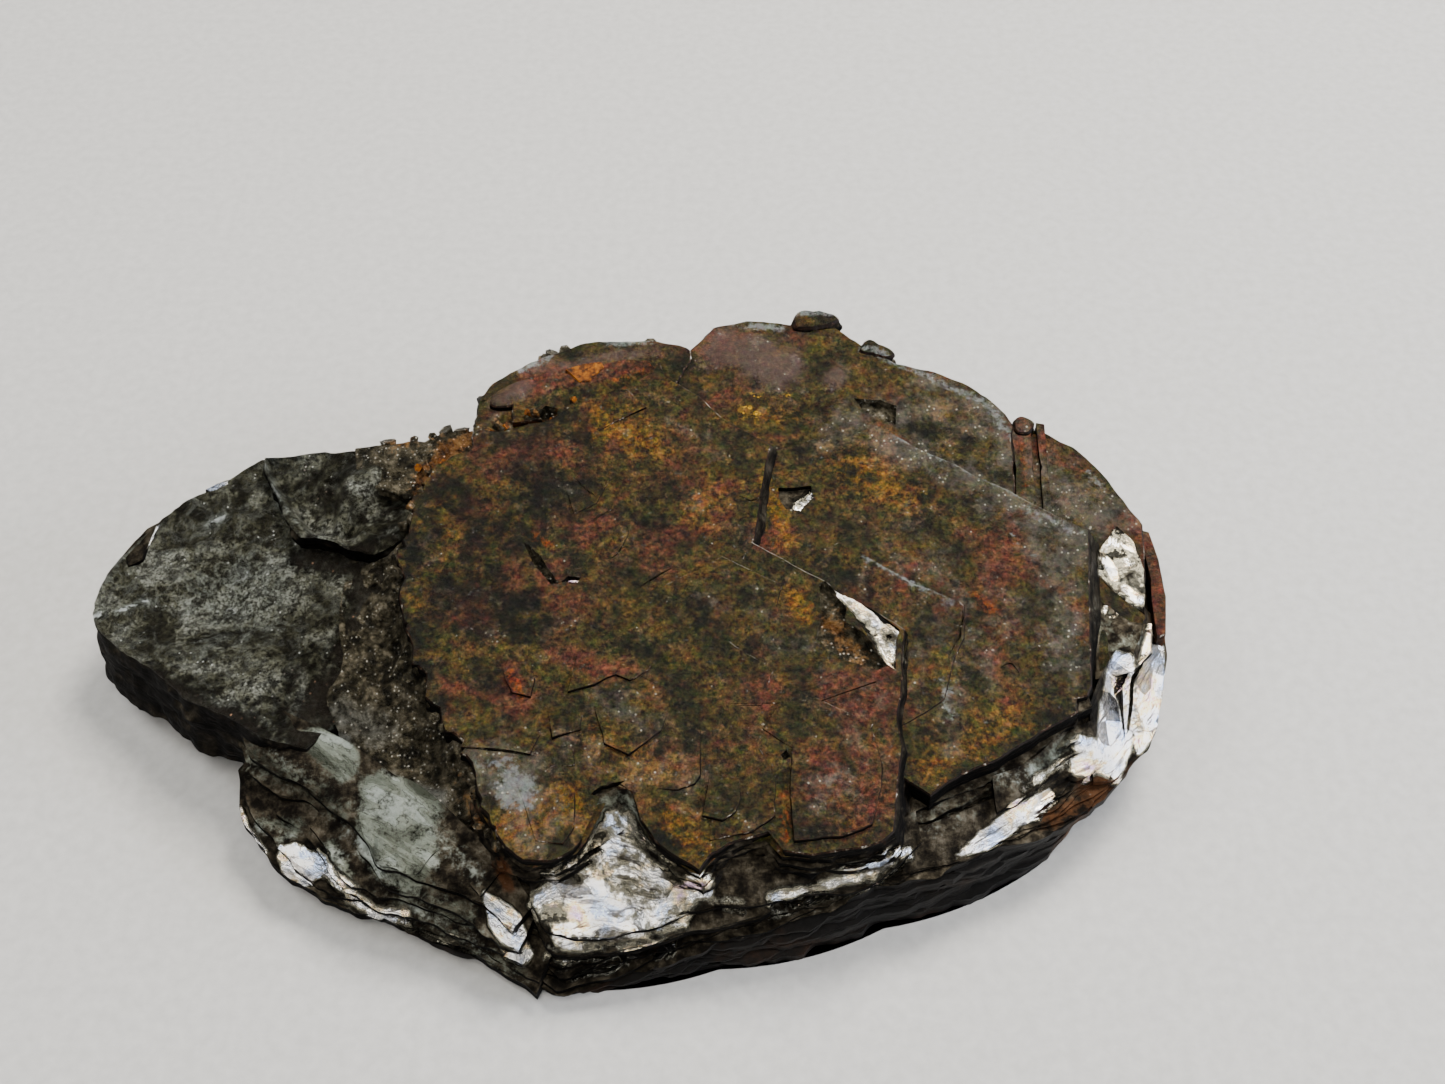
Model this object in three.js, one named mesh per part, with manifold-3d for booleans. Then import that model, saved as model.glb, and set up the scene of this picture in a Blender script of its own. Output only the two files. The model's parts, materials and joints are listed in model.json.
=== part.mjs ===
// Hematite rose: a cluster of thin hexagonal hematite plates, grown together into one lens-shaped
// stone. Millimetres, +Z up. The plates all lie in one basal plane that leans toward -Y, so a level
// "h" below is a height above that leaning plane: z = h + LEAN * y.
import * as THREE from 'three';
import { mergeVertices } from 'three/addons/utils/BufferGeometryUtils.js';
import Module from 'manifold-3d';

// Driving sizes, in millimetres.
const LEAN = 0.12; // rise of the basal plane per millimetre toward +Y
const CROWN = 10.3; // level of the crown's lowest face
const TERRACE = 0.25; // height of one growth terrace on the crown
const RIGHT = 9.6; // level of the right plate
const BACK = 9.2; // level of the back right plate
const FAR = 8.0; // level of the far right plate
const BACK_LEFT = 9.7; // level of the back left plates
const SHOULDER = 8.7; // level where the body ends under the plates
const CHAMFER = 0.12; // worn edge of a plate
const UPPER_LEDGES = 6; // ledges from the rim up to the shoulder
const LOWER_LEDGES = 3; // ledges from the foot up to the rim
const AROUND = 46; // steps around the body

const wasm = await Module();
wasm.setup();

// ---------------------------------------------------------------- solids

// A closed geometry as a manifold solid.
function solidOf(geometry) {
  const bare = geometry.clone();
  bare.deleteAttribute('normal');
  bare.deleteAttribute('uv');
  const merged = mergeVertices(bare, 1e-4);
  return new wasm.Manifold(new wasm.Mesh({
    numProp: 3,
    vertProperties: new Float32Array(merged.attributes.position.array),
    triVerts: new Uint32Array(merged.index.array),
  }));
}

// A solid through rings of [x, y, z] points, all with the same count, listed from the bottom up and
// anticlockwise from above. Each end is closed by a fan around its ring's centre.
function loft(rings) {
  const count = rings[0].length;
  const middle = (ring) => [0, 1, 2].map((axis) => ring.reduce((sum, p) => sum + p[axis], 0) / count);
  const points = [...rings.flat(), middle(rings[0]), middle(rings.at(-1))];
  const last = (rings.length - 1) * count;
  const triangles = [];
  for (let j = 0; j < count; j++) {
    const next = (j + 1) % count;
    for (let i = 0; i < last; i += count) {
      triangles.push(i + j, i + next, i + count + next, i + j, i + count + next, i + count + j);
    }
    triangles.push(points.length - 2, next, j);
    triangles.push(points.length - 1, last + j, last + next);
  }
  const geometry = new THREE.BufferGeometry();
  geometry.setAttribute('position', new THREE.Float32BufferAttribute(points.flat(), 3));
  geometry.setIndex(triangles);
  return solidOf(geometry);
}

// A flat crystal plate: its top face at the level h, straight sides, worn edges.
function plate(outline, h, thickness, chamfer = CHAMFER) {
  const shape = new THREE.Shape(outline.map(([x, y]) => new THREE.Vector2(x, y)));
  const geometry = new THREE.ExtrudeGeometry(shape, {
    depth: thickness - 2 * chamfer,
    bevelEnabled: chamfer > 0,
    bevelThickness: chamfer,
    bevelSize: chamfer,
    bevelOffset: -chamfer,
    bevelSegments: 1,
  });
  geometry.translate(0, 0, h - thickness + chamfer);
  geometry.applyMatrix4(new THREE.Matrix4().makeShear(0, 0, 0, LEAN, 0, 0));
  return solidOf(geometry);
}

// A curved leaf: edge holds the [x, y, z] points of its upper rim. The top swells by bulge toward
// the middle and carries the ripple. The rim drops by the thickness, moving out by spread and
// leaning by the [x, y] offset that slant gives at each point.
function leaf(edge, options) {
  const { thickness, bulge = 0, spread = 0, steps = 3 } = options;
  const { ripple = () => 0, slant = () => [0, 0] } = options;
  const count = edge.length;
  const centre = [0, 1, 2].map((axis) => edge.reduce((sum, p) => sum + p[axis], 0) / count);
  const top = (share) => edge.map(([x, y, z]) => {
    const px = centre[0] + (x - centre[0]) * share;
    const py = centre[1] + (y - centre[1]) * share;
    const pz = centre[2] + (z - centre[2]) * share + bulge * (1 - share * share);
    return [px, py, pz + (share < 1 ? ripple(px, py) : 0)];
  });
  const lower = edge.map(([x, y, z]) => {
    const reach = Math.hypot(x - centre[0], y - centre[1]);
    const out = 1 + spread / reach;
    const [leanX, leanY] = slant(x, y);
    const px = centre[0] + (x - centre[0]) * out + leanX;
    const py = centre[1] + (y - centre[1]) * out + leanY;
    return [px, py, z - thickness];
  });
  const rings = [lower];
  for (let i = steps; i > 0; i--) rings.push(top(i / steps));
  return loft(rings);
}

// A small angular crystal, squashed and turned.
function grain([x, y, z], size, turn) {
  const geometry = new THREE.IcosahedronGeometry(size, 0);
  geometry.scale(1, 0.8, 0.6);
  geometry.rotateX(turn * 0.7);
  geometry.rotateZ(turn);
  geometry.translate(x, y, z);
  return solidOf(geometry);
}

// An even, repeatable scatter between 0 and 1.
const scatter = (n) => {
  const wave = Math.sin(n * 12.9898) * 43758.5453;
  return wave - Math.floor(wave);
};

// ---------------------------------------------------------------- body

// Distance and height of a closed outline of [x, y, z] points, at any bearing around the middle.
const MIDDLE = [2, -2];

function around(outline) {
  const polar = outline.map(([x, y, z]) => {
    const dx = x - MIDDLE[0];
    const dy = y - MIDDLE[1];
    return [Math.atan2(dy, dx), Math.hypot(dx, dy), z];
  }).sort((a, b) => a[0] - b[0]);
  const turn = 2 * Math.PI;
  const first = polar[0];
  const end = polar.at(-1);
  const closed = [[end[0] - turn, end[1], end[2]], ...polar, [first[0] + turn, first[1], first[2]]];
  return (bearing) => {
    const i = closed.findIndex(([angle]) => angle > bearing);
    const [a, b] = [closed[i - 1], closed[i]];
    const share = (bearing - a[0]) / (b[0] - a[0]);
    return [a[1] + (b[1] - a[1]) * share, a[2] + (b[2] - a[2]) * share];
  };
}

// The widest line of the stone, from the front tip anticlockwise.
const rim = around([
  [-3.4, -24.5, 0.9], [0.6, -23.7, 1.6], [4.9, -22.7, 2.4], [10.0, -21.3, 3.4], [14.5, -20.1, 4.3],
  [19.4, -18.2, 5.0], [23.2, -16.2, 5.2], [27.1, -13.6, 4.8], [31.8, -10.2, 4.0], [33.9, -5.4, 5.0],
  [34.6, 0.7, 6.3], [34.2, 6.0, 7.0], [31.6, 9.8, 7.4],
  [28.4, 12.8, 7.4], [24.2, 15.2, 7.2], [20.0, 17.8, 7.0], [14.1, 20.8, 7.2], [7.8, 21.5, 7.4],
  [3.9, 19.2, 7.6], [-2.3, 18.9, 7.6], [-7.7, 16.6, 7.2], [-12.8, 11.8, 6.6], [-20.7, 10.2, 5.6],
  [-23.8, 4.0, 4.6], [-24.6, -4.0, 4.2], [-24.3, -9.6, 4.2], [-23.5, -13.1, 3.0], [-20.0, -17.4, 2.2],
  [-14.4, -19.8, 1.6], [-7.0, -22.9, 1.1],
]);

// Where the body reaches the underside of the plates.
const shoulder = around([
  [-3.8, -18.8, 0], [5.5, -18.9, 0], [15.4, -17.4, 0], [18.0, -14.4, 0], [27.0, -9.4, 0], [28.2, -7.6, 0],
  [29.0, 3.2, 0], [25.2, 6.4, 0], [24.8, 12.8, 0], [20.0, 16.6, 0], [14.0, 20.0, 0], [6.4, 20.0, 0],
  [1.8, 17.6, 0], [-5.0, 17.0, 0], [-9.6, 13.4, 0], [-13.2, 7.8, 0], [-13.8, 0, 0], [-11.6, -8.0, 0],
  [-9.4, -12.6, 0], [-7.8, -16.0, 0],
]);

// The worn flat foot that the stone rests on.
const foot = around([
  [-3.6, -23.4, 0], [6.0, -21.8, 0], [16.0, -18.8, 0], [25.4, -13.6, 0], [28.4, -5.0, 0], [22.0, 6.0, 0],
  [11.0, 11.6, 0], [0, 12.0, 0], [-10.0, 7.6, 0], [-16.6, 0, 0], [-18.2, -8.0, 0], [-14.0, -15.4, 0],
]);

// One ring of the body, a share of the way from one outline to the other, its edge broken by waves.
function bodyRing(from, to, share, rise, level, roughness) {
  return Array.from({ length: AROUND }, (_, j) => {
    const bearing = -Math.PI + (2 * Math.PI * (j + 0.5)) / AROUND;
    const [innerReach, innerZ] = from(bearing);
    const [outerReach, outerZ] = to(bearing);
    const waves = Math.sin(5 * bearing + 2.1 * level) + Math.sin(11 * bearing + 4.7 * level)
      + 1.4 * (scatter(j + 91 * level) - 0.5);
    const reach = innerReach + (outerReach - innerReach) * share + roughness * waves;
    const x = MIDDLE[0] + reach * Math.cos(bearing);
    const y = MIDDLE[1] + reach * Math.sin(bearing);
    return [x, y, innerZ + (outerZ - innerZ) * rise];
  });
}

// The stack of laminae: each ledge is a riser, then a tread.
function body() {
  const top = (bearing) => {
    const [reach] = shoulder(bearing);
    return [reach, SHOULDER + LEAN * (MIDDLE[1] + reach * Math.sin(bearing))];
  };
  const rings = [bodyRing(foot, foot, 0, 0, 0, 0)];
  for (let k = 1; k <= LOWER_LEDGES; k++) {
    const share = k / LOWER_LEDGES;
    const before = (k - 1) / LOWER_LEDGES;
    const roughness = k < LOWER_LEDGES ? 0.25 : 0;
    rings.push(bodyRing(foot, rim, share - 0.06, before + 0.04, k, roughness));
    rings.push(bodyRing(foot, rim, share, share * 0.97, k, roughness));
  }
  for (let k = 1; k <= UPPER_LEDGES; k++) {
    const share = (k - 1) / UPPER_LEDGES;
    const after = k / UPPER_LEDGES;
    const roughness = k < UPPER_LEDGES ? 0.22 : 0;
    rings.push(bodyRing(rim, top, share + 0.03, after - 0.02, k + 8, k > 1 ? 0.22 : 0));
    rings.push(bodyRing(rim, top, after, after, k + 9, roughness));
  }
  return loft(rings);
}

// ---------------------------------------------------------------- crown

// Two merged hexagonal plates, from the front left corner anticlockwise. The front edge has a bay
// over the bright hollow, and the right edge of the rear plate steps back from the front one.
const crownOutline = [
  [-8.5, -15.9], [-6.3, -19.1], [-3.8, -19.7], [-1.9, -18.3], [-1.5, -16.3], [0.2, -15.9], [1.4, -17.0],
  [3.3, -19.0], [5.5, -20.0], [5.9, -19.1], [9.2, -17.7], [10.6, -19.4], [13.5, -19.6], [16.0, -18.3],
  [17.5, -4.4], [7.2, 2.8], [8.4, 2.4], [9.5, 9.6], [6.4, 12.1], [3.6, 16.3], [2.0, 17.3], [1.4, 15.7],
  [-0.9, 14.5], [-3.7, 13.3], [-6.0, 11.7], [-10.3, 10.7], [-12.4, 8.2], [-14.1, 5.2], [-14.6, 0.6],
  [-14.0, -2.3], [-11.9, -8.0], [-9.7, -12.3],
];

// The growth terraces, each with the number of steps that its face stands above the crown.
const crownTerraces = [
  { steps: 1, outline: [
    [-10.1, -10.9], [-7.1, -12.0], [-3.5, -11.7], [-2.3, -11.2], [-1.1, -11.9], [0.4, -13.0], [4.2, -10.6],
    [5.0, -11.4], [5.1, -14.3], [9.8, -14.5], [9.9, -12.1], [13.8, -12.1], [15.7, -10.7], [16.6, -10.4],
    [17.2, -4.5], [6.6, 2.6], [8.1, 2.2], [9.2, 9.5], [6.1, 12.0], [3.4, 16.0], [-3.4, 12.9],
    [-6.2, 11.2], [-10.2, 10.3], [-13.7, 5.1], [-14.2, 0.6], [-13.6, -2.3], [-11.6, -7.8],
  ] },
  { steps: 2, outline: [
    [4.6, -9.2], [13.4, -9.6], [14.8, -6.5], [10.1, -3.7], [9.9, -1.9], [9.1, -1.0], [6.0, 0.7], [4.8, 0.3],
    [-0.2, -2.2], [-1.6, -6.4], [1.2, -9.6],
  ] },
  { steps: 2, outline: [
    [-5.6, -9.2], [-2.9, -8.9], [-0.3, -7.7], [0.5, -8.1], [1.5, -7.7], [1.0, -4.0], [-2.6, -0.8],
    [-5.4, -2.6], [-8.0, -4.0], [-7.6, -7.4],
  ] },
  { steps: 1, outline: [[10.8, -18.0], [15.2, -17.4], [15.8, -13.0], [11.2, -13.4]] },
  { steps: 1, outline: [[1.0, -14.4], [3.2, -14.8], [3.8, -17.2], [2.2, -17.4]] },
];

function crown() {
  let solid = plate(crownOutline, CROWN, 1.5);
  for (const { steps, outline } of crownTerraces) {
    solid = solid.add(plate(outline, CROWN + steps * TERRACE, steps * TERRACE + 0.5, 0));
  }
  return solid;
}

// ---------------------------------------------------------------- lower plates

const flatPlates = [
  // right plate and its terrace
  { level: RIGHT, thickness: 1.6, outline: [
    [15.7, 12.3], [9.4, 10.8], [8.0, 3.0], [8.0, -14.0], [17.0, -15.6], [18.5, -15.1], [24.6, -11.9],
    [27.9, -9.6], [28.1, -7.8], [28.8, -7.6], [29.1, -6.6], [30.1, 3.8],
  ] },
  { level: RIGHT + TERRACE, thickness: 0.8, outline: [
    [10.0, 0], [13.1, 2.7], [21.4, -2.0], [21.2, -3.4], [20.7, -5.0], [19.9, -6.4], [19.4, -8.9],
    [17.2, -10.2], [12.0, -8.0],
  ] },
  // back right plate with the raised chip on its back edge
  { level: BACK, thickness: 1.8, outline: [
    [2.0, 14.0], [9.0, 8.0], [25.5, 6.0], [25.9, 13.4], [24.2, 15.4], [20.2, 17.8], [16.1, 19.4],
    [14.1, 21.2], [11.7, 21.4], [7.8, 21.8], [5.5, 21.2], [3.9, 19.1],
  ] },
  { level: BACK + 0.5, thickness: 1.4, outline: [
    [11.4, 20.6], [13.9, 20.4], [14.0, 21.9], [13.1, 22.4], [11.6, 22.2],
  ] },
  // far right plate
  { level: FAR, thickness: 1.5, outline: [
    [25.0, 14.2], [25.0, 2.0], [29.2, -6.6], [31.4, -6.0], [33.5, -1.9], [33.9, 2.6], [34.2, 5.8],
    [33.0, 8.2], [31.0, 11.2], [28.7, 12.9],
  ] },
  // back left plates
  { level: BACK_LEFT, thickness: 2.0, outline: [
    [3.8, 18.9], [2.4, 19.2], [0.5, 19.5], [-2.3, 19.7], [-5.1, 18.9], [-8.0, 17.2], [-10.0, 15.5],
    [-10.7, 13.7],
    [-10.5, 10.6], [-6.1, 10.4], [-0.9, 13.3], [2.4, 14.6],
  ] },
  { level: BACK_LEFT + 0.35, thickness: 1.0, outline: [
    [-0.6, 17.2], [-4.4, 16.6], [-8.2, 14.2], [-8.0, 12.0], [-4.4, 12.6], [0, 15.0],
  ] },
  { level: BACK_LEFT - 0.6, thickness: 1.6, outline: [
    [-10.6, 12.1], [-12.8, 11.9], [-15.5, 11.3], [-18.7, 10.7], [-18.0, 8.5], [-14.5, 8.1], [-11.4, 8.6],
  ] },
];

// Pockets broken out of the plates: each goes down from its level by its depth.
const pockets = [
  // the chipped triangle, the groove and the slit in the crown
  { level: CROWN + TERRACE, depth: 0.8, outline: [
    [12.2, -1.0], [14.2, -1.7], [16.0, -3.0], [17.2, -4.7], [17.0, -7.7], [16.4, -8.2], [14.0, -6.6],
    [12.8, -5.2], [12.3, -3.0],
  ] },
  { level: CROWN + TERRACE, depth: 0.55, outline: [
    [-6.7, 1.9], [-5.9, 1.7], [-4.6, -0.4], [-2.8, -0.3], [-2.8, -1.0], [-4.8, -1.3], [-6.1, 0.5],
  ] },
  { level: CROWN, depth: 0.6, outline: [
    [-1.8, -15.3], [-1.6, -14.9], [1.1, -14.5], [1.1, -15.2], [-0.6, -15.5],
  ] },
  // the pits of the right and the back right plate
  { level: RIGHT, depth: 0.6, outline: [[9.9, 6.5], [10.3, 5.2], [12.0, 5.1], [12.3, 6.9]] },
  { level: BACK, depth: 0.5, outline: [[15.7, 14.4], [16.3, 12.9], [17.8, 12.6], [17.9, 14.2]] },
];

function pocket(outline, level, depth) {
  return plate(outline, level + 2, depth + 2, 0);
}

// The thin plate that stands on edge outside the far right plate.
const outerFin = [[33.9, -1.6], [34.7, -1.5], [34.9, 3.0], [34.6, 6.9], [33.9, 7.0], [34.2, 3.0]];

// Thin plates that stand on edge between the back right and the far right plate.
function standingBars() {
  const count = 3;
  return Array.from({ length: count }, (_, i) => {
    const x = 26.1 + 0.75 * i;
    const front = 6.4 + 0.3 * i;
    const back = 14 - 0.7 * i;
    const outline = [[x, front], [x + 0.4, front + 0.1], [x + 0.7, back], [x + 0.3, back + 0.1]];
    return plate(outline, BACK - 0.25 - 0.3 * i, 1.8, 0.06);
  });
}

// The low dome on the back right plate.
function dome() {
  const edge = [
    [4.4, 19.0], [4.9, 16.8], [7.4, 15.3], [11.5, 14.5], [14.9, 14.6], [16.0, 16.4], [14.9, 18.9],
    [12.6, 20.6], [9.4, 21.2], [6.2, 20.8],
  ].map(([x, y]) => [x, y, BACK + 0.02 + LEAN * y]);
  return leaf(edge, { thickness: 0.8, bulge: 0.45, steps: 4 });
}

// ---------------------------------------------------------------- left side

// The shell-like hollows of the wing: waves around a point near its inner corner.
function shellRipple(x, y) {
  const reach = Math.hypot(x + 17, y - 3);
  return 0.16 * Math.sin(reach * 2.3) + 0.22 * Math.sin(reach * 0.9 + 0.6);
}

function wing() {
  const edge = [
    [-35.2, 0.2, 5.8], [-34.6, -0.9, 5.6], [-32.7, -2.9, 5.8], [-30.1, -4.7, 6.2], [-27.4, -7.2, 6.4],
    [-24.2, -8.9, 6.7], [-22.1, -10.3, 6.8], [-19.2, -11.0, 6.6], [-17.0, -8.6, 6.8], [-16.0, -4.0, 7.4],
    [-15.6, 1.0, 8.2], [-16.0, 6.0, 8.8], [-18.0, 10.0, 9.0], [-21.6, 11.0, 9.0], [-25.2, 11.3, 8.6],
    [-27.5, 9.7, 8.2], [-30.4, 8.4, 7.6], [-32.2, 6.3, 7.1], [-34.0, 4.4, 6.6], [-34.9, 2.4, 6.2],
  ];
  // its broken front side slopes out toward the ground, most of all near the tip
  const slant = (x, y) => (y < 1 ? [0.5, -0.5 - 1.5 * Math.min(1, (-14 - x) / 18)] : [0.3, -0.4]);
  return leaf(edge, { thickness: 3.3, bulge: -0.5, steps: 6, ripple: shellRipple, slant });
}

// The folded plate over the wing's inner corner: a trough between two ridges.
function foldedPlate() {
  const edge = [
    [-25.0, 10.9, 9.2], [-24.4, 8.0, 9.4], [-23.5, 6.6, 9.3], [-22.5, 4.9, 9.2], [-21.3, 3.6, 9.1],
    [-18.5, 2.3, 9.2], [-16.9, 1.9, 9.4], [-15.6, 2.3, 9.6], [-14.4, 3.1, 9.9], [-13.6, 6.6, 10.4],
    [-14.4, 9.6, 10.6], [-17.7, 11.0, 10.2], [-20.5, 11.2, 9.8], [-22.5, 11.1, 9.5],
  ];
  const trough = (x, y) => -0.9 * Math.exp(-(((x + 20.2) * 0.8 + (y - 8) * 0.5) ** 2) / 1.6)
    + 0.25 * Math.sin(1.7 * x - 1.1 * y);
  return leaf(edge, { thickness: 1.3, bulge: 0.5, spread: -0.4, steps: 5, ripple: trough });
}

// The slope between wing and crown, and the small crystals that cover it.
function granularSlope() {
  const edge = [
    [-18.6, 3.0, 8.0], [-19.0, -2.0, 7.5], [-19.0, -7.6, 7.2], [-17.0, -10.6, 6.8], [-13.4, -13.6, 6.4],
    [-9.8, -16.4, 6.4], [-8.4, -15.6, 7.4], [-9.2, -12.2, 8.6], [-11.4, -7.8, 9.2], [-13.6, -2.2, 9.8],
    [-14.2, 1.4, 10.1], [-14.4, 4.0, 9.8],
  ];
  const lumps = (x, y) => 0.2 * Math.sin(2.4 * x) * Math.sin(2.1 * y);
  return leaf(edge, { thickness: 3, bulge: -0.6, steps: 4, ripple: lumps });
}

function grains() {
  const start = new THREE.Vector3(-16.6, 2.4, 8.4);
  const end = new THREE.Vector3(-9.4, -15.6, 6.9);
  const across = new THREE.Vector3(-2.2, -0.8, -0.5);
  const count = 34;
  return Array.from({ length: count }, (_, i) => {
    const place = start.clone().lerp(end, (i + 0.5) / count);
    place.addScaledVector(across, 1.6 * (scatter(i) - 0.45));
    return grain(place.toArray(), 0.42 + 0.4 * scatter(i + 50), 6 * scatter(i + 99));
  });
}

// The rusty crumbs along the crown's left and back left edge.
function crumbs() {
  const edge = new THREE.CatmullRomCurve3([
    [-3.6, 13.6], [-7.6, 11.8], [-10.8, 10.8], [-13.2, 8.0], [-14.4, 5.0], [-14.9, 0.6], [-14.2, -2.6],
    [-12.4, -8.0],
  ].map(([x, y]) => new THREE.Vector3(x, y, CROWN - 0.1 + LEAN * y)));
  const count = 22;
  return Array.from({ length: count }, (_, i) => {
    const place = edge.getPointAt((i + 0.5) / count);
    place.x += 0.5 * (scatter(i + 7) - 0.5);
    place.z -= 0.5 * scatter(i + 31);
    return grain(place.toArray(), 0.38 + 0.3 * scatter(i + 17), 5 * scatter(i + 71));
  });
}

// The leaves folded over each other along the left front rim: the lowest reaches furthest out, and
// each higher one stops a little short of the front tip.
function frontLeftLeaves() {
  const outer = [
    [-23.6, -11.4, 4.0], [-22.6, -14.2, 3.2], [-20.4, -16.8, 2.6], [-16.4, -18.6, 2.3], [-12.6, -19.8, 2.2],
    [-8.8, -21.8, 2.2], [-5.4, -23.6, 2.1],
  ];
  const inner = [
    [-4.6, -20.0, 6.0], [-6.8, -18.6, 7.0], [-8.6, -15.4, 7.4], [-12.0, -12.0, 7.0], [-16.0, -9.4, 6.8],
    [-20.0, -8.8, 6.8], [-23.4, -8.6, 6.2],
  ];
  const count = 4;
  const stepIn = 1.5;
  const stepUp = 1.05;
  return Array.from({ length: count }, (_, k) => {
    const lip = outer.map(([x, y, z], j) => {
      const wave = 1 + 0.35 * Math.sin(2.3 * j + 2.6 * k);
      const along = j / (outer.length - 1);
      return [x + (0.8 - 1.3 * along) * k * 0.5, y + stepIn * wave * k * 0.75, z + stepUp * k];
    });
    return leaf([...lip, ...inner], { thickness: 0.6, bulge: 0.1 * k - 0.5, spread: -0.3, steps: 3 });
  });
}

// ---------------------------------------------------------------- front and right rim

// The bright hollow under the crown's bay, running on as a thin rim below the crown's front edge.
function hollowLip() {
  const edge = [
    [-5.2, -20.2, 6.0], [-4.4, -22.3, 4.8], [-3.0, -22.7, 4.7], [0, -22.3, 4.7], [3.0, -21.8, 4.9],
    [5.8, -20.9, 5.4], [9.6, -20.5, 5.9], [13.4, -20.1, 6.0], [16.6, -18.8, 6.2], [17.6, -15.0, 7.0],
    [9.0, -14.6, 7.7], [1.0, -14.4, 7.9], [-3.0, -15.6, 7.6],
  ];
  return leaf(edge, { thickness: 1.0, bulge: -0.45, spread: -0.2, steps: 4 });
}

// The laminae under the right plate's front edge: each one steps out and down from the one above.
function rightLaminae() {
  const edge = [[15.6, -17.0], [18.6, -15.6], [21.6, -14.0], [24.8, -12.3], [27.9, -10.2], [29.4, -8.0]];
  const count = 5;
  return Array.from({ length: count }, (_, k) => {
    const points = edge.map(([x, y], j) => {
      const swell = Math.sin((Math.PI * (j + 1)) / (edge.length + 1));
      const wave = 0.3 * Math.sin(1.9 * j + 2.3 * k);
      return [x + 0.06 * j * k, y - (0.3 + 0.62 * k) * swell + wave];
    });
    return plate([...points, [27.0, 0], [15.0, -8.0]], RIGHT - 1.1 - 0.55 * k, 0.5, 0.1);
  });
}

// The bright leaf that bends down and out along the right side.
function rightRim() {
  const edge = [
    [27.4, -4.0, 7.8], [26.8, -9.0, 7.0], [27.2, -11.8, 6.0], [29.4, -12.2, 4.7], [31.9, -10.4, 4.2],
    [33.3, -8.6, 4.5], [34.2, -5.4, 5.3], [34.8, -2.2, 6.1], [34.8, 1.0, 6.7], [34.0, 4.6, 7.4],
    [31.6, 5.6, 7.8], [28.6, 5.0, 8.2],
  ];
  return leaf(edge, { thickness: 1.1, bulge: 0.35, spread: -0.3, steps: 4 });
}

// ---------------------------------------------------------------- the stone

const pieces = [
  crown(),
  ...flatPlates.map(({ outline, level, thickness }) => plate(outline, level, thickness)),
  ...standingBars(),
  plate(outerFin, FAR - 1, 1.4, 0.06),
  dome(),
  wing(),
  foldedPlate(),
  granularSlope(),
  ...grains(),
  ...crumbs(),
  ...frontLeftLeaves(),
  hollowLip(),
  ...rightLaminae(),
  rightRim(),
];
let stone = pieces.reduce((joined, piece) => joined.add(piece), body());
for (const { outline, level, depth } of pockets) {
  stone = stone.subtract(pocket(outline, level, depth));
}

// Only the outer skin is kept: a gap shut in between the plates counts as solid stone.
const skins = stone.decompose().sort((a, b) => b.volume() - a.volume());
const cut = skins[0].getMesh();
const geometry = new THREE.BufferGeometry();
geometry.setAttribute('position', new THREE.BufferAttribute(new Float32Array(cut.vertProperties), 3));
geometry.setIndex(new THREE.BufferAttribute(new Uint32Array(cut.triVerts), 1));
geometry.computeBoundingBox();
const centre = geometry.boundingBox.getCenter(new THREE.Vector3());
geometry.translate(-centre.x, -centre.y, 0);
geometry.computeVertexNormals();

const rose = new THREE.Mesh(geometry, new THREE.MeshStandardMaterial({
  color: 0x4a3826,
  roughness: 0.45,
  metalness: 0.6,
}));
rose.name = 'hematite_rose';

const group = new THREE.Group();
group.add(rose);

export default group;
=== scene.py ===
import json

import bmesh
import bpy
import numpy as np
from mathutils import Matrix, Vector

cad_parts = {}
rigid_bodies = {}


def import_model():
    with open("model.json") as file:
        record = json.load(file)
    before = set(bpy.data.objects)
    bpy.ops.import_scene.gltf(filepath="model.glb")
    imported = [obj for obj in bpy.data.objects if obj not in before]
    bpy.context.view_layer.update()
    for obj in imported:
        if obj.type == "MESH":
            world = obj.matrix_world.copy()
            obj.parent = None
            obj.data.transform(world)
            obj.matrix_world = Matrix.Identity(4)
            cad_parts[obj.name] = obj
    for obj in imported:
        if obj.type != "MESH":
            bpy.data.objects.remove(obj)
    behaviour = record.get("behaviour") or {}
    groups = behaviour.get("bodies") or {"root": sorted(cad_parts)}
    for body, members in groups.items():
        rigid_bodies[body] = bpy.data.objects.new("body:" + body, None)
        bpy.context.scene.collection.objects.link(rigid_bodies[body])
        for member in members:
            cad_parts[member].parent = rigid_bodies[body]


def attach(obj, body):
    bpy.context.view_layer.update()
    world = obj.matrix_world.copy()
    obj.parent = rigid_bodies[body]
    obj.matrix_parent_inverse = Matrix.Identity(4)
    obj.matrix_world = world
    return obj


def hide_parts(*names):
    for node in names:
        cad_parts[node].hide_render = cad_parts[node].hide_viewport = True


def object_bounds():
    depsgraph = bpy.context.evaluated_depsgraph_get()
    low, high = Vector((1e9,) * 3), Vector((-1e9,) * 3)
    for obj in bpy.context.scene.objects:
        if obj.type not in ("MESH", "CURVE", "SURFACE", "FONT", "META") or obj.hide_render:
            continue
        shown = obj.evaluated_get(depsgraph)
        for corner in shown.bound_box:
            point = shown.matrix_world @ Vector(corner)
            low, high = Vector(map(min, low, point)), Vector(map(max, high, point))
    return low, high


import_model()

cad_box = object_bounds()

# ---------------------------------------------------------------------------------------------
# Body of the rose: a lens of thin hematite laminae, stacked along the crystals' basal plane.
# The plates grew outward one under another, so every side shows their broken edges as ledges,
# and the underside steps in to a worn flat foot. Shapes are in millimetres until they are joined.
# ---------------------------------------------------------------------------------------------

LEAN = 0.12                # rise of the basal plane per millimetre toward the back
MIDDLE = np.array([2.0, -2.0])  # the point that bearings round the stone are taken from
SHOULDER = 8.3             # level where the body ends under the plates
AROUND = 392               # points around one lamina
LEDGES_BELOW = 9           # from the foot up to the widest line
LEDGES_ABOVE = 22          # from the widest line up to the shoulder

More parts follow.
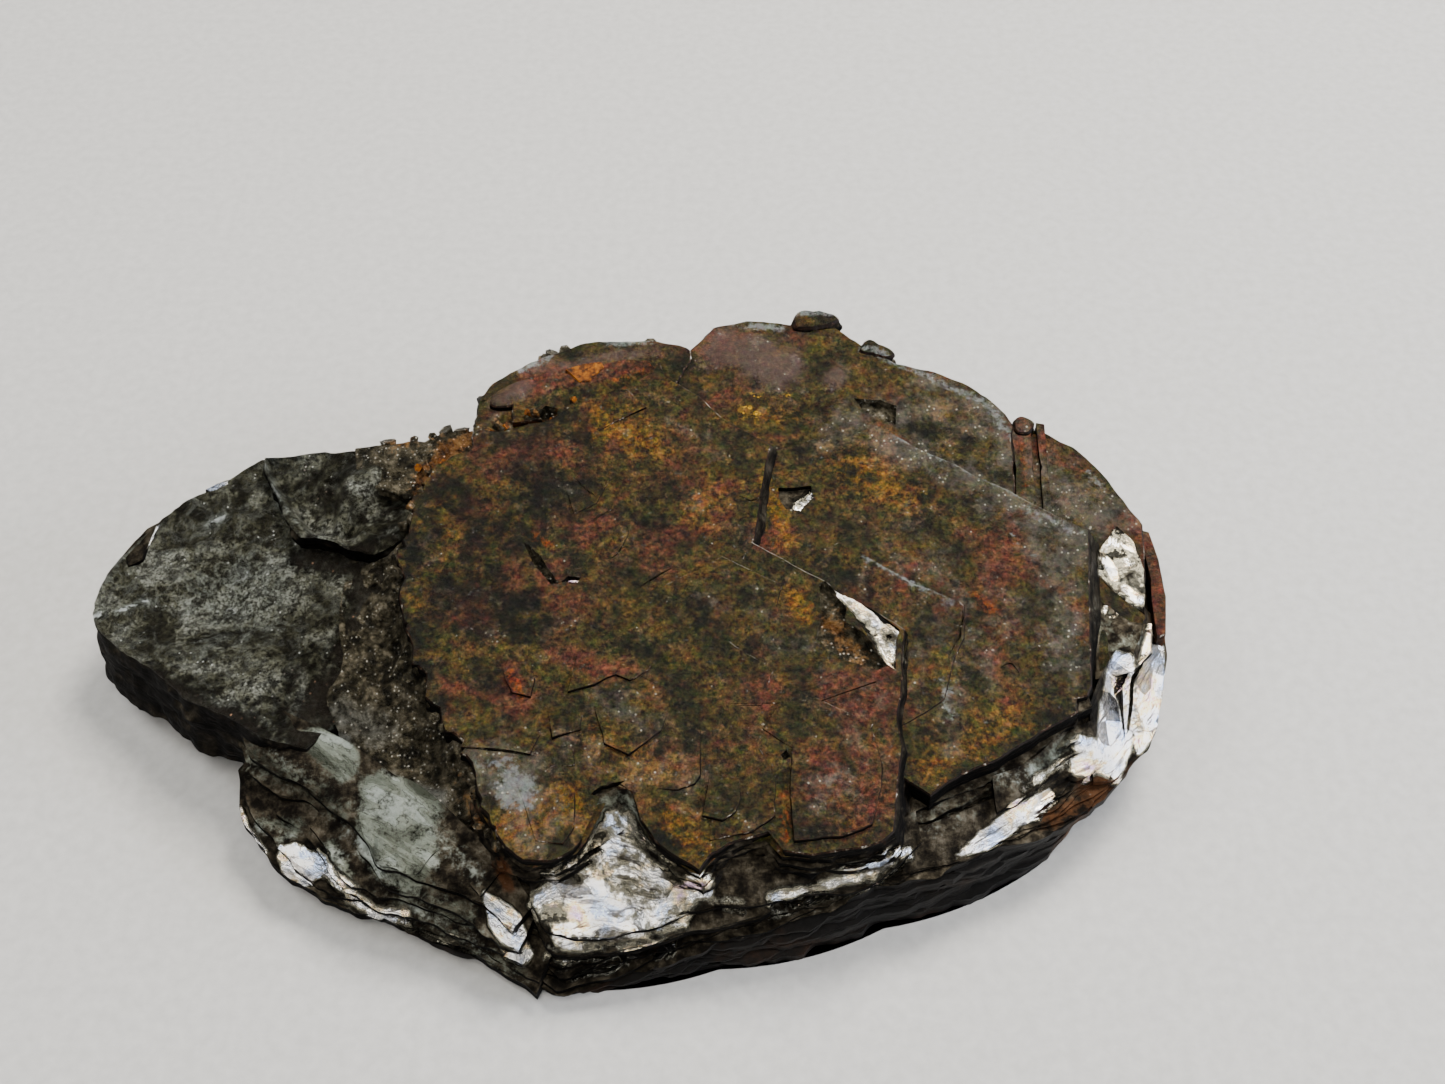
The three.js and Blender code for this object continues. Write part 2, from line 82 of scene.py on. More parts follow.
# outlines as (x, y, z): the widest line of the stone, the shoulder and the foot
RIM = [(-3.4, -24.4, 0.9), (0.6, -23.6, 1.6), (4.9, -22.4, 2.4), (10.0, -21.0, 3.4), (14.5, -19.8, 4.3),
       (19.4, -18.2, 4.6), (23.2, -16.6, 4.4), (27.4, -14.6, 3.8), (31.2, -11.6, 3.6), (33.8, -6.6, 4.6),
       (34.3, 0.7, 6.2), (34.0, 6.0, 6.8), (31.5, 9.8, 7.0), (28.3, 12.7, 7.0), (24.2, 15.1, 6.8),
       (20.0, 17.7, 6.8), (14.1, 20.7, 7.0), (7.8, 21.4, 7.2), (3.9, 19.1, 7.4), (-2.3, 18.8, 7.4),
       (-7.7, 16.5, 7.0), (-12.8, 11.7, 6.4), (-20.7, 10.1, 5.4), (-23.8, 4.0, 4.4), (-24.4, -4.0, 3.8),
       (-24.0, -9.6, 3.4), (-23.2, -13.1, 2.6), (-20.0, -17.3, 2.0), (-14.4, -19.7, 1.6), (-7.0, -22.8, 1.1)]
TOP = [(-3.8, -18.4, 0), (5.5, -18.2, 0), (15.0, -16.6, 0), (18.0, -13.6, 0), (26.4, -8.8, 0),
       (27.6, -7.2, 0),
       (28.6, 3.2, 0), (25.2, 6.4, 0), (24.8, 12.4, 0), (20.0, 16.2, 0), (14.0, 19.4, 0), (6.4, 19.4, 0),
       (1.8, 17.2, 0), (-5.0, 16.4, 0), (-9.4, 13.0, 0), (-13.0, 7.8, 0), (-13.6, 0, 0), (-11.4, -8.0, 0),
       (-9.0, -12.6, 0), (-7.2, -15.6, 0)]
FOOT = [(-3.6, -23.6, 0), (6.0, -22.3, 0), (16.0, -19.6, 0), (26.0, -15.2, 0), (29.4, -11.0, 0),
        (28.4, -5.0, 0),
        (22.0, 6.0, 0), (11.0, 11.6, 0), (0, 12.0, 0), (-10.0, 7.6, 0), (-16.6, 0, 0), (-18.2, -8.0, 0),
        (-14.0, -15.8, 0)]


def noise(points, size, seed):
    """Smooth noise between -1 and 1. Random values sit on a lattice of the given size, and each
    point blends the eight around it with the weights 3t^2 - 2t^3."""
    points = np.asarray(points, float)
    if points.shape[-1] == 2:
        points = np.concatenate([points, np.zeros(points.shape[:-1] + (1,))], axis=-1)
    cell = points / size + 0.37 * seed
    base = np.floor(cell).astype(np.int64)
    share = cell - base
    share = share * share * (3 - 2 * share)
    total = np.zeros(points.shape[:-1])
    for corner in np.ndindex(2, 2, 2):
        x, y, z = np.moveaxis(base + np.array(corner), -1, 0)
        mixed = (x * 73856093) ^ (y * 19349663) ^ (z * 83492791) ^ (seed * 40503 + 977)
        mixed = ((mixed ^ (mixed >> 13)) * 1274126177) & 0xFFFFFFFF
        mixed = ((mixed ^ (mixed >> 15)) * 2246822519) & 0xFFFFFFFF
        value = ((mixed >> 8) & 0xFFFF) / 32767.5 - 1
        total += value * np.prod(np.where(np.array(corner) == 1, share, 1 - share), axis=-1)
    return total


def at_bearing(outline, turn):
    """Distance and height of an outline, seen from the middle along each bearing."""
    spots = np.array(outline, float)
    out = spots[:, :2] - MIDDLE
    bearing = np.arctan2(out[:, 1], out[:, 0])
    reach = np.interp(turn, bearing, np.hypot(out[:, 0], out[:, 1]), period=2 * np.pi)
    return reach, np.interp(turn, bearing, spots[:, 2], period=2 * np.pi)


crystals = []              # every crystal of the cluster: its rows of points and its skins
finishes = {}              # every finish by name, in the order of the stone's material slots


def grow(rows, skins):
    """Adds one closed crystal: rows of points, each a ring, and the finish of each band between
    two rows, with those of the two ends first and last. It is turned so that it faces outward."""
    rows, skins = np.asarray(rows, float), list(skins)
    near = rows - rows.mean(axis=(0, 1))
    a, b = near[:-1], near[1:]
    outward = (np.cross(np.roll(a, -1, axis=1) - a, b - a) * (a + b)).sum()
    crystals.append((rows, skins) if outward > 0 else (rows[::-1], skins[::-1]))


def body_rows():
    """A staircase between the outlines. Below the rim each ledge goes out, then up. Above it each
    goes up, then in. Every lamina has its own broken outline, and heights are uneven."""
    turn = np.linspace(-np.pi, np.pi, AROUND, endpoint=False)
    ray = np.stack([np.cos(turn), np.sin(turn)], axis=1)
    foot, rim, top = (at_bearing(outline, turn) for outline in (FOOT, RIM, TOP))
    top_height = SHOULDER + LEAN * (MIDDLE[1] + top[0] * ray[:, 1])
    uneven = np.random.default_rng(4)
    rows = []
    for count, start, end, end_height, first in (
            (LEDGES_BELOW, foot, rim, rim[1], 0), (LEDGES_ABOVE, rim, top, top_height, 1)):
        levels = np.concatenate([[0], np.cumsum(uneven.uniform(0.3, 1.7, count))])
        levels /= levels[-1]
        for i in range(0 if first == 0 else 1, 2 * count + 1):
            out, up = ((i + 1) // 2, i // 2) if first == 0 else (i // 2, (i + 1) // 2)
            reach = start[0] + (end[0] - start[0]) * levels[out]
            spot = MIDDLE + reach[:, None] * ray
            seed = out + 40 * first
            broken = 0.5 * noise(spot, 3.6, seed) + 0.3 * noise(spot, 1.2, seed + 7) \
                + 0.12 * noise(spot, 0.45, seed + 9)
            ends = (first == 0 and out == 0) or (first == 1 and out == count)
            spot = MIDDLE + (reach + (0 if ends else 1) * (broken - 0.2))[:, None] * ray
            height = start[1] + (end_height - start[1]) * levels[up]
            height = height + 0.16 * noise(spot, 4.0, 3) * np.sin(np.pi * levels[up])
            rows.append(np.column_stack([spot, np.maximum(height, 0)]))
    return rows


body = body_rows()
grow(body, ["underside"] * (2 * LEDGES_BELOW + 1) + ["laminae"] * (len(body) - 2 * LEDGES_BELOW))


def linear(colour):
    """Linear RGBA from an sRGB hex colour."""
    share = np.array([int(colour[i:i + 2], 16) for i in (1, 3, 5)]) / 255
    flat = np.where(share <= 0.04045, share / 12.92, ((share + 0.055) / 1.055) ** 2.4)
    return (*flat.tolist(), 1.0)


MM = 0.001                 # one millimetre in metres


def per(size):
    """Texture scale that gives one feature per size, in millimetres."""
    return 1 / (size * MM)


def add(finish, kind, inputs=None, stops=None, give=0, **settings):
    """Adds one shader node with its settings. An input takes an output, an sRGB hex colour or a
    plain value, and a colour ramp takes its stops. Gives back one of the node's outputs."""
    tree = finish.node_tree
    node = tree.nodes.new("ShaderNode" + kind)
    for name, value in settings.items():
        setattr(node, name, value)
    for name, value in (inputs or {}).items():
        if isinstance(value, bpy.types.NodeSocket):
            tree.links.new(value, node.inputs[name])
        else:
            node.inputs[name].default_value = linear(value) if isinstance(value, str) else value
    if stops:
        for _ in range(len(stops) - 2):
            node.color_ramp.elements.new(1.0)
        for element, (position, colour) in zip(node.color_ramp.elements, stops):
            element.position = position
            element.color = linear(colour) if isinstance(colour, str) else (colour, colour, colour, 1)
    return node.outputs[give] if len(node.outputs) else None


def new_finish(name):
    """An empty finish, with its object coordinates."""
    finish = bpy.data.materials.new(name)
    finish.use_nodes = True
    finish.node_tree.nodes.clear()
    finishes[name] = finish
    return finish, add(finish, "TexCoord", give="Object")


# Laminated hematite, split and broken. The broken edges are brown black and dull, with fine lines
# along the plates; every steep face is painted near black, partly the edges' own colour and partly
# painted shade on the walls. A lamina's face laid bare is a grey satin, or a mirror with thin-film
# tints whose near-white colour is partly painted reflection; both stay off the steep faces, which
# keep their painted shade. It is parted by hairline cracks into flakes, and every flake lies at a
# slant of its own.
finish, place = new_finish("laminae")
silver_and_glare = add(finish, "Attribute", attribute_name="silver_and_glare", give="Fac")
satin = add(finish, "Attribute", attribute_name="satin", give="Fac")
rust = add(finish, "Attribute", attribute_name="rust", give="Fac")
up = add(finish, "SeparateXYZ", {0: add(finish, "NewGeometry", give="Normal")}, give="Z")
# steep faces take the near-black edge tone: partly the broken edges' own colour, partly painted shade
steep = add(finish, "MapRange", {0: up, 1: 0.8, 2: 0.35}, interpolation_type="SMOOTHSTEP")
# faces that look up: only these show the satin and mirror colours, so the walls keep their painted shade
facing_up = add(finish, "MapRange", {0: up, 1: 0.35, 2: 0.65}, interpolation_type="SMOOTHSTEP")
flat = add(finish, "Mapping", {"Vector": place, "Scale": (1, 1, 8)})
lines = add(finish, "TexNoise", {"Vector": flat, "Scale": per(1.4), "Detail": 6.0, "Roughness": 0.66})
drawn = add(finish, "Mapping", {"Vector": place, "Scale": (0.4, 0.4, 5)})
streak = add(finish, "TexNoise", {"Vector": drawn, "Scale": per(0.8), "Detail": 5.0, "Roughness": 0.62,
                                  "Distortion": 0.3})
grit = add(finish, "TexNoise", {"Vector": place, "Scale": per(0.3), "Detail": 4.0, "Roughness": 0.65})
patchy = add(finish, "TexNoise", {"Vector": place, "Scale": per(1.1), "Detail": 6.0, "Roughness": 0.68})
film = add(finish, "TexNoise", {"Vector": place, "Scale": per(2.4), "Detail": 4.0, "Roughness": 0.6})
turned = add(finish, "Mapping", {"Vector": place, "Rotation": (0, 0, -0.62), "Scale": (2.2, 0.75, 0.75)},
             vector_type="TEXTURE")
wave = add(finish, "TexNoise", {"Vector": turned, "Scale": per(2.2), "Detail": 5.0, "Roughness": 0.55,
                                "Distortion": 0.4})
flake = add(finish, "TexVoronoi", {"Vector": turned, "Scale": per(1.6)}, give="Color")
slant = add(finish, "VectorMath", {0: flake, 1: (1000.0,) * 3, 2: (-500.0,) * 3}, operation="MULTIPLY_ADD")
slant = add(finish, "VectorMath", {0: slant, 1: place}, operation="DOT_PRODUCT", give="Value")
edge = add(finish, "ValToRGB", {0: lines}, [(0.42, "#010101"), (0.52, "#040303"), (0.6, "#0b0806"),
                                            (0.7, "#201913")])
face = add(finish, "ValToRGB", {0: patchy}, [(0.4, "#0f0d0a"), (0.49, "#25211a"), (0.56, "#3a352b"),
                                             (0.66, "#565045")])
tone = add(finish, "Mix", {0: steep, 6: face, 7: edge}, data_type="RGBA", give=2)
share = add(finish, "Math", {0: rust, 1: 0.3, 2: patchy}, operation="MULTIPLY_ADD")
share = add(finish, "MapRange", {0: share, 1: 0.62, 2: 0.86, 4: 0.8}, interpolation_type="SMOOTHSTEP")
tone = add(finish, "Mix", {0: share, 6: tone, 7: "#3f2411"}, data_type="RGBA", give=2)
seam = add(finish, "ValToRGB", {0: wave}, [(0.41, "#ffffff"), (0.418, "#37322c"), (0.428, "#ffffff"),
                                           (0.5, "#ffffff"),
                                           (0.506, "#2a2520"), (0.514, "#ffffff"), (0.57, "#ffffff"),
                                           (0.578, "#4a443e"), (0.588, "#ffffff")])
worn = add(finish, "Math", {0: patchy, 1: grit}, operation="ADD")
worn = add(finish, "Math", {0: worn, 1: 0.5}, operation="MULTIPLY")
worn = add(finish, "Math", {0: satin, 1: 0.24, 2: worn}, operation="MULTIPLY_ADD")
worn = add(finish, "MapRange", {0: worn, 1: 0.57, 2: 0.8}, interpolation_type="SMOOTHSTEP")
worn = add(finish, "Math", {0: worn, 1: facing_up}, operation="MULTIPLY")
pearl = add(finish, "ValToRGB", {0: wave}, [(0.38, "#34372f"), (0.47, "#4f534a"), (0.55, "#676c62"),
                                            (0.64, "#80867f")])
pearl = add(finish, "Mix", {0: 0.75, 6: pearl, 7: seam}, data_type="RGBA", blend_type="MULTIPLY", give=2)
tone = add(finish, "Mix", {0: worn, 6: tone, 7: pearl}, data_type="RGBA", give=2)
# the silver mark: bare mirror laminae, their near-white colour partly painted reflection
bare = add(finish, "Math", {0: silver_and_glare, 1: 0.6, 2: patchy}, operation="MULTIPLY_ADD")
# where the silver mark is strongest the tint turns near white: painted glare
painted_glare = add(finish, "MapRange", {0: bare, 1: 1.02, 2: 1.2}, interpolation_type="SMOOTHSTEP")
bare = add(finish, "MapRange", {0: bare, 1: 0.78, 2: 0.96}, interpolation_type="SMOOTHSTEP")
bare = add(finish, "Math", {0: bare, 1: facing_up}, operation="MULTIPLY")
tint = add(finish, "ValToRGB", {0: film}, [(0.38, "#b8c6de"), (0.45, "#dfdfe0"), (0.52, "#f2f0ea"),
                                           (0.58, "#ecd6a6"),
                                            (0.66, "#cfb6cf")])
tint = add(finish, "Mix", {0: painted_glare, 6: "#6b685b", 7: tint}, data_type="RGBA", give=2)
# dark streaks along the laminae across the mirror faces: partly cracks, partly painted shade in crevices
dark_streaks = add(finish, "ValToRGB", {0: streak}, [(0.3, "#231e1b"), (0.37, "#8f8883"), (0.43, "#ffffff")])
broad = add(finish, "ValToRGB", {0: add(finish, "SeparateColor", {0: flake}, give="Red")},
            [(0.0, "#3a3431"), (0.16, "#8a8580"), (0.3, "#ffffff")])
tint = add(finish, "Mix", {0: 0.85, 6: tint, 7: dark_streaks}, data_type="RGBA", blend_type="MULTIPLY", give=2)
tint = add(finish, "Mix", {0: 0.8, 6: tint, 7: broad}, data_type="RGBA", blend_type="MULTIPLY", give=2)
tone = add(finish, "Mix", {0: bare, 6: tone, 7: tint}, data_type="RGBA", give=2)
metal = add(finish, "MapRange", {0: steep, 3: 0.7, 4: 0.1})
shown = add(finish, "Math", {0: worn, 1: bare}, operation="MAXIMUM")
metal = add(finish, "Math", {0: metal, 1: shown}, operation="MAXIMUM")
dull = add(finish, "MapRange", {0: lines, 1: 0.35, 2: 0.65, 3: 0.75, 4: 0.5})
sheen = add(finish, "MapRange", {0: patchy, 1: 0.35, 2: 0.65, 3: 0.46, 4: 0.34})
shine = add(finish, "MapRange", {0: patchy, 1: 0.35, 2: 0.65, 3: 0.28, 4: 0.14})
gloss = add(finish, "Mix", {0: worn, 2: dull, 3: sheen})
gloss = add(finish, "Mix", {0: bare, 2: gloss, 3: shine})
slant = add(finish, "Math", {0: slant, 1: bare}, operation="MULTIPLY")
ridge = add(finish, "Math", {0: streak, 1: bare}, operation="MULTIPLY")
bump = add(finish, "Bump", {"Height": lines, "Strength": 0.5, "Distance": 0.16 * MM})
bump = add(finish, "Bump", {"Height": grit, "Strength": 0.25, "Distance": 0.04 * MM, "Normal": bump})
bump = add(finish, "Bump", {"Height": patchy, "Strength": 0.4, "Distance": 0.3 * MM, "Normal": bump})
bump = add(finish, "Bump", {"Height": ridge, "Strength": 0.5, "Distance": 0.28 * MM, "Normal": bump})
bump = add(finish, "Bump", {"Height": slant, "Strength": 0.9, "Distance": 0.5 * MM, "Normal": bump})
skin = add(finish, "BsdfPrincipled", {"Base Color": tone, "Metallic": metal, "Roughness": gloss,
                                      "Normal": bump,
                                      "Specular IOR Level": 0.06})
add(finish, "OutputMaterial", {"Surface": skin})

# Underside: laminae under a skin of brown iron oxide and ground-in dust, almost without shine. Its
# near-black tones are partly painted shade on the lower side.
finish, place = new_finish("underside")
patches = add(finish, "TexNoise", {"Vector": place, "Scale": per(3.4), "Detail": 6.0, "Roughness": 0.62})
grit = add(finish, "TexNoise", {"Vector": place, "Scale": per(0.35), "Detail": 4.0, "Roughness": 0.65})
flat = add(finish, "Mapping", {"Vector": place, "Scale": (1, 1, 8)})
lines = add(finish, "TexNoise", {"Vector": flat, "Scale": per(1.8), "Detail": 5.0, "Roughness": 0.6})
rust = add(finish, "Attribute", attribute_name="rust", give="Fac")
share = add(finish, "Math", {0: rust, 1: 0.12, 2: patches}, operation="MULTIPLY_ADD")
tone = add(finish, "ValToRGB", {0: share}, [(0.4, "#060504"), (0.54, "#0f0c09"), (0.66, "#24170d"),
                                            (0.78, "#452a13")])
dust = add(finish, "ValToRGB", {0: grit}, [(0.42, 0.0), (0.7, 0.6)])
tone = add(finish, "Mix", {0: dust, 6: tone, 7: "#0d0b09"}, data_type="RGBA", give=2)
gloss = add(finish, "MapRange", {0: lines, 1: 0.35, 2: 0.65, 3: 0.8, 4: 0.55})
bump = add(finish, "Bump", {"Height": lines, "Strength": 0.5, "Distance": 0.2 * MM})
bump = add(finish, "Bump", {"Height": grit, "Strength": 0.4, "Distance": 0.08 * MM, "Normal": bump})
skin = add(finish, "BsdfPrincipled", {"Base Color": tone, "Roughness": gloss, "Normal": bump,
                                      "Specular IOR Level": 0.2})
add(finish, "OutputMaterial", {"Surface": skin})

# ---------------------------------------------------------------------------------------------
# Crown: two merged hexagonal plates, the highest of the rose. Their basal faces are flat, coated
# with limonite and goethite, and stepped by growth terraces a fifth of a millimetre high.
# ---------------------------------------------------------------------------------------------

CROWN = 10.4               # level of the crown's face
CHAMFER = 0.1              # worn edge of a plate

FRONT_PLATE = [(-8.6, -15.0), (-7.6, -17.0), (-6.4, -18.9), (-5.3, -19.6), (-3.6, -19.6), (-2.5, -19.0),
               (-2.0, -18.3),
               (-2.0, -15.8), (-1.5, -15.0), (-0.6, -14.8), (0.9, -15.4), (1.4, -17.0), (2.3, -18.4),
               (3.3, -19.2),
               (4.9, -20.2), (5.6, -19.2), (6.6, -18.6), (8.4, -18.0), (9.4, -17.7), (9.8, -19.0),
               (11.4, -19.2),
               (14.1, -18.8), (15.6, -18.4), (16.2, -17.8), (17.0, -12.3), (16.8, -10.6), (17.3, -7.6),
               (17.6, -4.2),
               (12.7, -0.7), (6.5, 3.3), (-4.0, 0.0), (-13.0, -5.0), (-11.9, -8.0), (-9.7, -12.3)]
REAR_PLATE = [(-11.9, -8.0), (-9.7, -12.3), (-4.0, -13.0), (4.0, -8.0), (7.4, 0.0), (8.4, 2.6), (9.1, 8.1),
              (9.5, 9.8),
              (6.2, 12.2), (4.8, 13.8), (3.3, 15.0), (2.3, 15.6), (1.9, 16.8), (1.4, 15.9), (-0.4, 14.8),
              (-3.7, 13.3),
              (-6.0, 11.7), (-10.3, 10.7), (-12.4, 8.2), (-14.1, 5.2), (-14.6, 0.6), (-14.0, -2.3)]


def along(outline, spacing):
    """A closed outline with its corners kept and each side divided at about the spacing."""
    spots = np.array(outline, float)
    after = np.roll(spots, -1, axis=0)
    counts = np.maximum(1, np.round(np.linalg.norm(after - spots, axis=1) / spacing)).astype(int)
    side = np.repeat(np.arange(len(spots)), counts)
    share = (np.arange(counts.sum()) - np.repeat(np.cumsum(counts) - counts, counts)) / counts[side]
    return spots[side] + (after - spots)[side] * share[:, None]


def crystal(edge, thickness, skins, bulge=0.0, ripple=None, slant=None, core=None, rings=0.8, bite=0.1,
            ledge=0.22, chamfer=CHAMFER, seed=0):
    """Rows of one plate from the (x, y, z) points of its upper edge. The side goes down by the
    thickness in small ledges, leaning by slant(x, y). The face runs in to the core in rings:
    straight toward it, plus bulge (1 - s^2) at the share s, plus ripple(x, y). The edge is bitten
    back by broken-edge noise. The skins are those of the base, the side, the rim and the face."""
    edge = np.array(edge, float)
    centre = edge.mean(axis=0) if core is None else np.array(core, float)
    ray = edge[:, :2] - centre[:2]
    reach = np.linalg.norm(ray, axis=1, keepdims=True)
    ray = ray / reach
    worn = bite * (np.abs(noise(edge, 2.2, seed + 11)) + 0.6 * np.abs(noise(edge, 0.7, seed + 12)))
    worn = worn + np.clip(noise(edge, 1.5, seed + 13) - 0.55, 0, 1) * 3 * bite
    edge[:, :2] -= ray * worn[:, None]
    reach = reach - worn[:, None]
    rows, names = [], [skins[0]]
    steps = max(2, int(round(thickness / ledge)) + 1)
    for i, share in enumerate(np.linspace(1, 0, steps)):
        drop = chamfer + (thickness - chamfer) * share
        lean = np.array(slant(edge[:, 0], edge[:, 1])).T * share if slant else 0
        jag = (0.9 * noise(edge, 1.1, seed + 20 + i // 2) + 0.4 * noise(edge, 0.5, seed + 24 + i)) * bite
        jag = jag * (i < steps - 1)
        rows.append(np.column_stack([edge[:, :2] + ray * jag[:, None] + lean, edge[:, 2] - drop]))
        names.append(skins[1] if i < steps - 1 else skins[2])
    count = max(2, int(round(reach.max() / rings)))
    for s in np.linspace(1, 0, count, endpoint=False):
        plan = centre[:2] + ray * (reach - chamfer) * s
        height = centre[2] + (edge[:, 2] - centre[2]) * s + bulge * (1 - s * s)
        if ripple:
            height = height + ripple(plan[:, 0], plan[:, 1]) * (1 - s ** 6)
        rows.append(np.column_stack([plan, height]))
        names.append(skins[3])
    grow(rows, names)


def face_relief(x, y):
    """Low swells of a basal face, some hundredths of a millimetre high."""
    spots = np.column_stack([x, y])
    return 0.05 * noise(spots, 3.4, 5) + 0.03 * noise(spots, 1.3, 6)


def plate(outline, level, thickness, skin="rust_coat", side="laminae", rim="worn_rim_and_highlight", spacing=0.45,
          rise=(0.0, 0.0), core=None, **options):
    """A flat crystal plate in the basal plane: z = level + LEAN y, plus rise along x and y from
    its middle."""
    spots = along(outline, spacing)
    middle = spots.mean(axis=0) if core is None else np.array(core, float)
    edge = np.column_stack([spots, level + LEAN * spots[:, 1] + (spots - middle) @ np.array(rise)])
    options.setdefault("ripple", face_relief)
    crystal(edge, thickness, [side, side, rim, skin], core=[*middle, level + LEAN * middle[1]], **options)


def torn_left(outline):
    """The outline with its left part torn: moved by noise of two sizes, more the further left."""
    spots = along(outline, 0.44)
    wild = [noise(spots, 1.5, seed) + 0.7 * noise(spots, 0.6, seed + 1) for seed in (401, 403)]
    return spots + 0.56 * np.column_stack(wild) * np.clip((-5 - spots[:, :1]) / 3, 0, 1)


def spread(start, most):
    """A slant for a plate's side: leaning out to the right where x is past the start."""
    return lambda x, y: (most * np.clip((x - start) / 0.8, 0, 1), 0 * y)


plate(torn_left(REAR_PLATE), CROWN, 1.7, core=(-2.5, 3.0), rings=0.9, seed=1, bite=0.16,
      slant=spread(7.6, 1.0))
plate(torn_left(FRONT_PLATE), CROWN - 0.02, 1.9, core=(1.8, -8.5), rings=0.9, seed=2, bite=0.16,
      slant=spread(15.6, 0.8))


def outward(outline, amount):
    """The outline moved outward by the amount, along the normals of its divided sides."""
    spots = along(outline, 0.5)
    run = np.roll(spots, -1, axis=0) - np.roll(spots, 1, axis=0)
    turned = np.sum(spots[:, 0] * np.roll(spots[:, 1], -1) - spots[:, 1] * np.roll(spots[:, 0], -1))
    return spots + amount * np.sign(turned) * run[:, ::-1] * (1, -1) / np.linalg.norm(run, axis=1,
                                                                                      keepdims=True)


for k in range(3):
    plate(outward(FRONT_PLATE[:-6], 0.18 + 0.2 * k), CROWN - 0.5 - 0.42 * k, 0.5, side="laminae",
          rim="laminae",
          skin="rust_coat" if k == 0 else "laminae", seed=410 + k, core=(1.8, -10.0), spacing=0.5,
          rings=1.4, bite=0.4,
          ledge=0.15, chamfer=0.05)

# Growth terraces. Each is a thin wedge that stands proud along some of its edges and runs out into
# the face on the other side: its outline, its rise at the middle, and its slopes along x and y.
TERRACES = [
    ([(-0.9, -12.2), (0.6, -13.0), (1.6, -12.2), (2.6, -11.3), (3.2, -9.2), (0.8, -8.4), (-1.6, -9.6)],
     0.06, 0.0, -0.06),
    ([(1.2, -12.9), (2.6, -11.3), (3.2, -10.4), (4.1, -10.6), (4.9, -11.4), (4.9, -14.3), (4.6, -14.8),
      (3.6, -15.2),
      (0.8, -15.0)], 0.05, 0.06, 0.015),
    ([(-3.2, -8.8), (-1.6, -8.3), (-0.8, -7.8), (-0.3, -7.6), (0.6, -8.0), (1.3, -7.5), (1.8, -7.2),
      (2.6, -4.6),
      (-2.6, -4.4)], 0.06, 0.0, -0.07),
    ([(-4.0, -11.9), (-3.3, -11.6), (-2.3, -11.3), (-2.2, -9.9), (-4.4, -10.1)], 0.08, 0.0, -0.12),
    ([(-4.6, -12.2), (-2.7, -12.2), (-2.5, -13.6), (-4.6, -13.8)], 0.04, 0.06, 0.0),
    ([(-4.6, -18.4), (-3.0, -18.6), (-2.4, -17.6), (-2.4, -15.0), (-3.4, -13.4), (-6.0, -14.6)], 0.06, 0.05,
     0.0),
    ([(5.4, -18.4), (7.9, -17.9), (9.3, -16.9), (9.4, -14.5), (8.4, -12.4), (5.8, -13.4)], 0.08, 0.05, -0.02),
    ([(5.0, -16.9), (6.2, -17.2), (7.0, -16.7), (7.3, -15.8), (7.2, -14.4), (5.4, -14.2)], 0.18, 0.03, -0.05),
    ([(10.3, -18.5), (11.5, -18.4), (13.0, -18.3), (14.0, -17.9), (14.9, -17.4), (15.2, -16.4), (15.6, -15.1),
      (15.7, -13.5), (15.2, -11.2), (12.6, -10.2), (10.4, -11.4), (10.1, -15.0)], 0.14, 0.01, -0.03),
    ([(4.2, -9.6), (1.6, -7.0), (4.4, -4.4), (6.7, -5.2), (7.9, -6.1), (9.4, -7.2), (8.6, -9.6)], 0.05,
     0.01, 0.03),
    ([(8.6, -11.2), (9.6, -9.4), (11.9, -9.1), (12.8, -9.6), (15.3, -10.9), (14.6, -12.4), (11.0, -13.0)],
     0.08, 0.01, 0.03),
    ([(-7.3, -6.9), (-6.8, -6.4), (-5.9, -7.1), (-5.2, -7.8), (-5.4, -9.1), (-6.6, -8.8), (-7.1, -7.8)],
     0.1, 0.05, -0.02),
    ([(-3.4, 4.2), (-1.9, 5.0), (-1.0, 7.2), (-4.6, 7.6)], 0.04, 0.0, -0.03),
    ([(1.1, 12.8), (-0.4, 14.6), (-4.0, 12.9), (-3.2, 10.2)], 0.06, 0.03, 0.0),
    ([(-9.4, -12.4), (-6.7, -12.6), (-5.2, -12.9), (-4.6, -11.4), (-9.0, -10.6)], 0.05, 0.0, -0.06),
]
for k, (outline, height, rise_x, rise_y) in enumerate(TERRACES):
    plate(outline, CROWN + height, height + 0.5, spacing=0.5, rings=1.1, rise=(rise_x, rise_y), seed=30 + k,
          bite=0.08, chamfer=0.04)

# The hexagonal hillock in the front plate: its back sides show as fine bright lines, painted
# highlights on its worn rims.
plate([(-1.6, -6.0), (1.3, -1.8), (3.3, -0.7), (6.2, 1.0), (7.4, 0.3), (9.0, -0.6), (10.0, -1.1), (9.6, -2.7),
       (9.9, -3.1), (11.6, -4.3), (12.8, -5.8), (15.6, -8.0), (12.0, -9.4), (4.6, -9.6)], CROWN + 0.08, 0.5,
      rise=(0.004, 0.012), spacing=0.5, rings=1.0, seed=50, bite=0.04, chamfer=0.06, core=(6.0, -4.5))

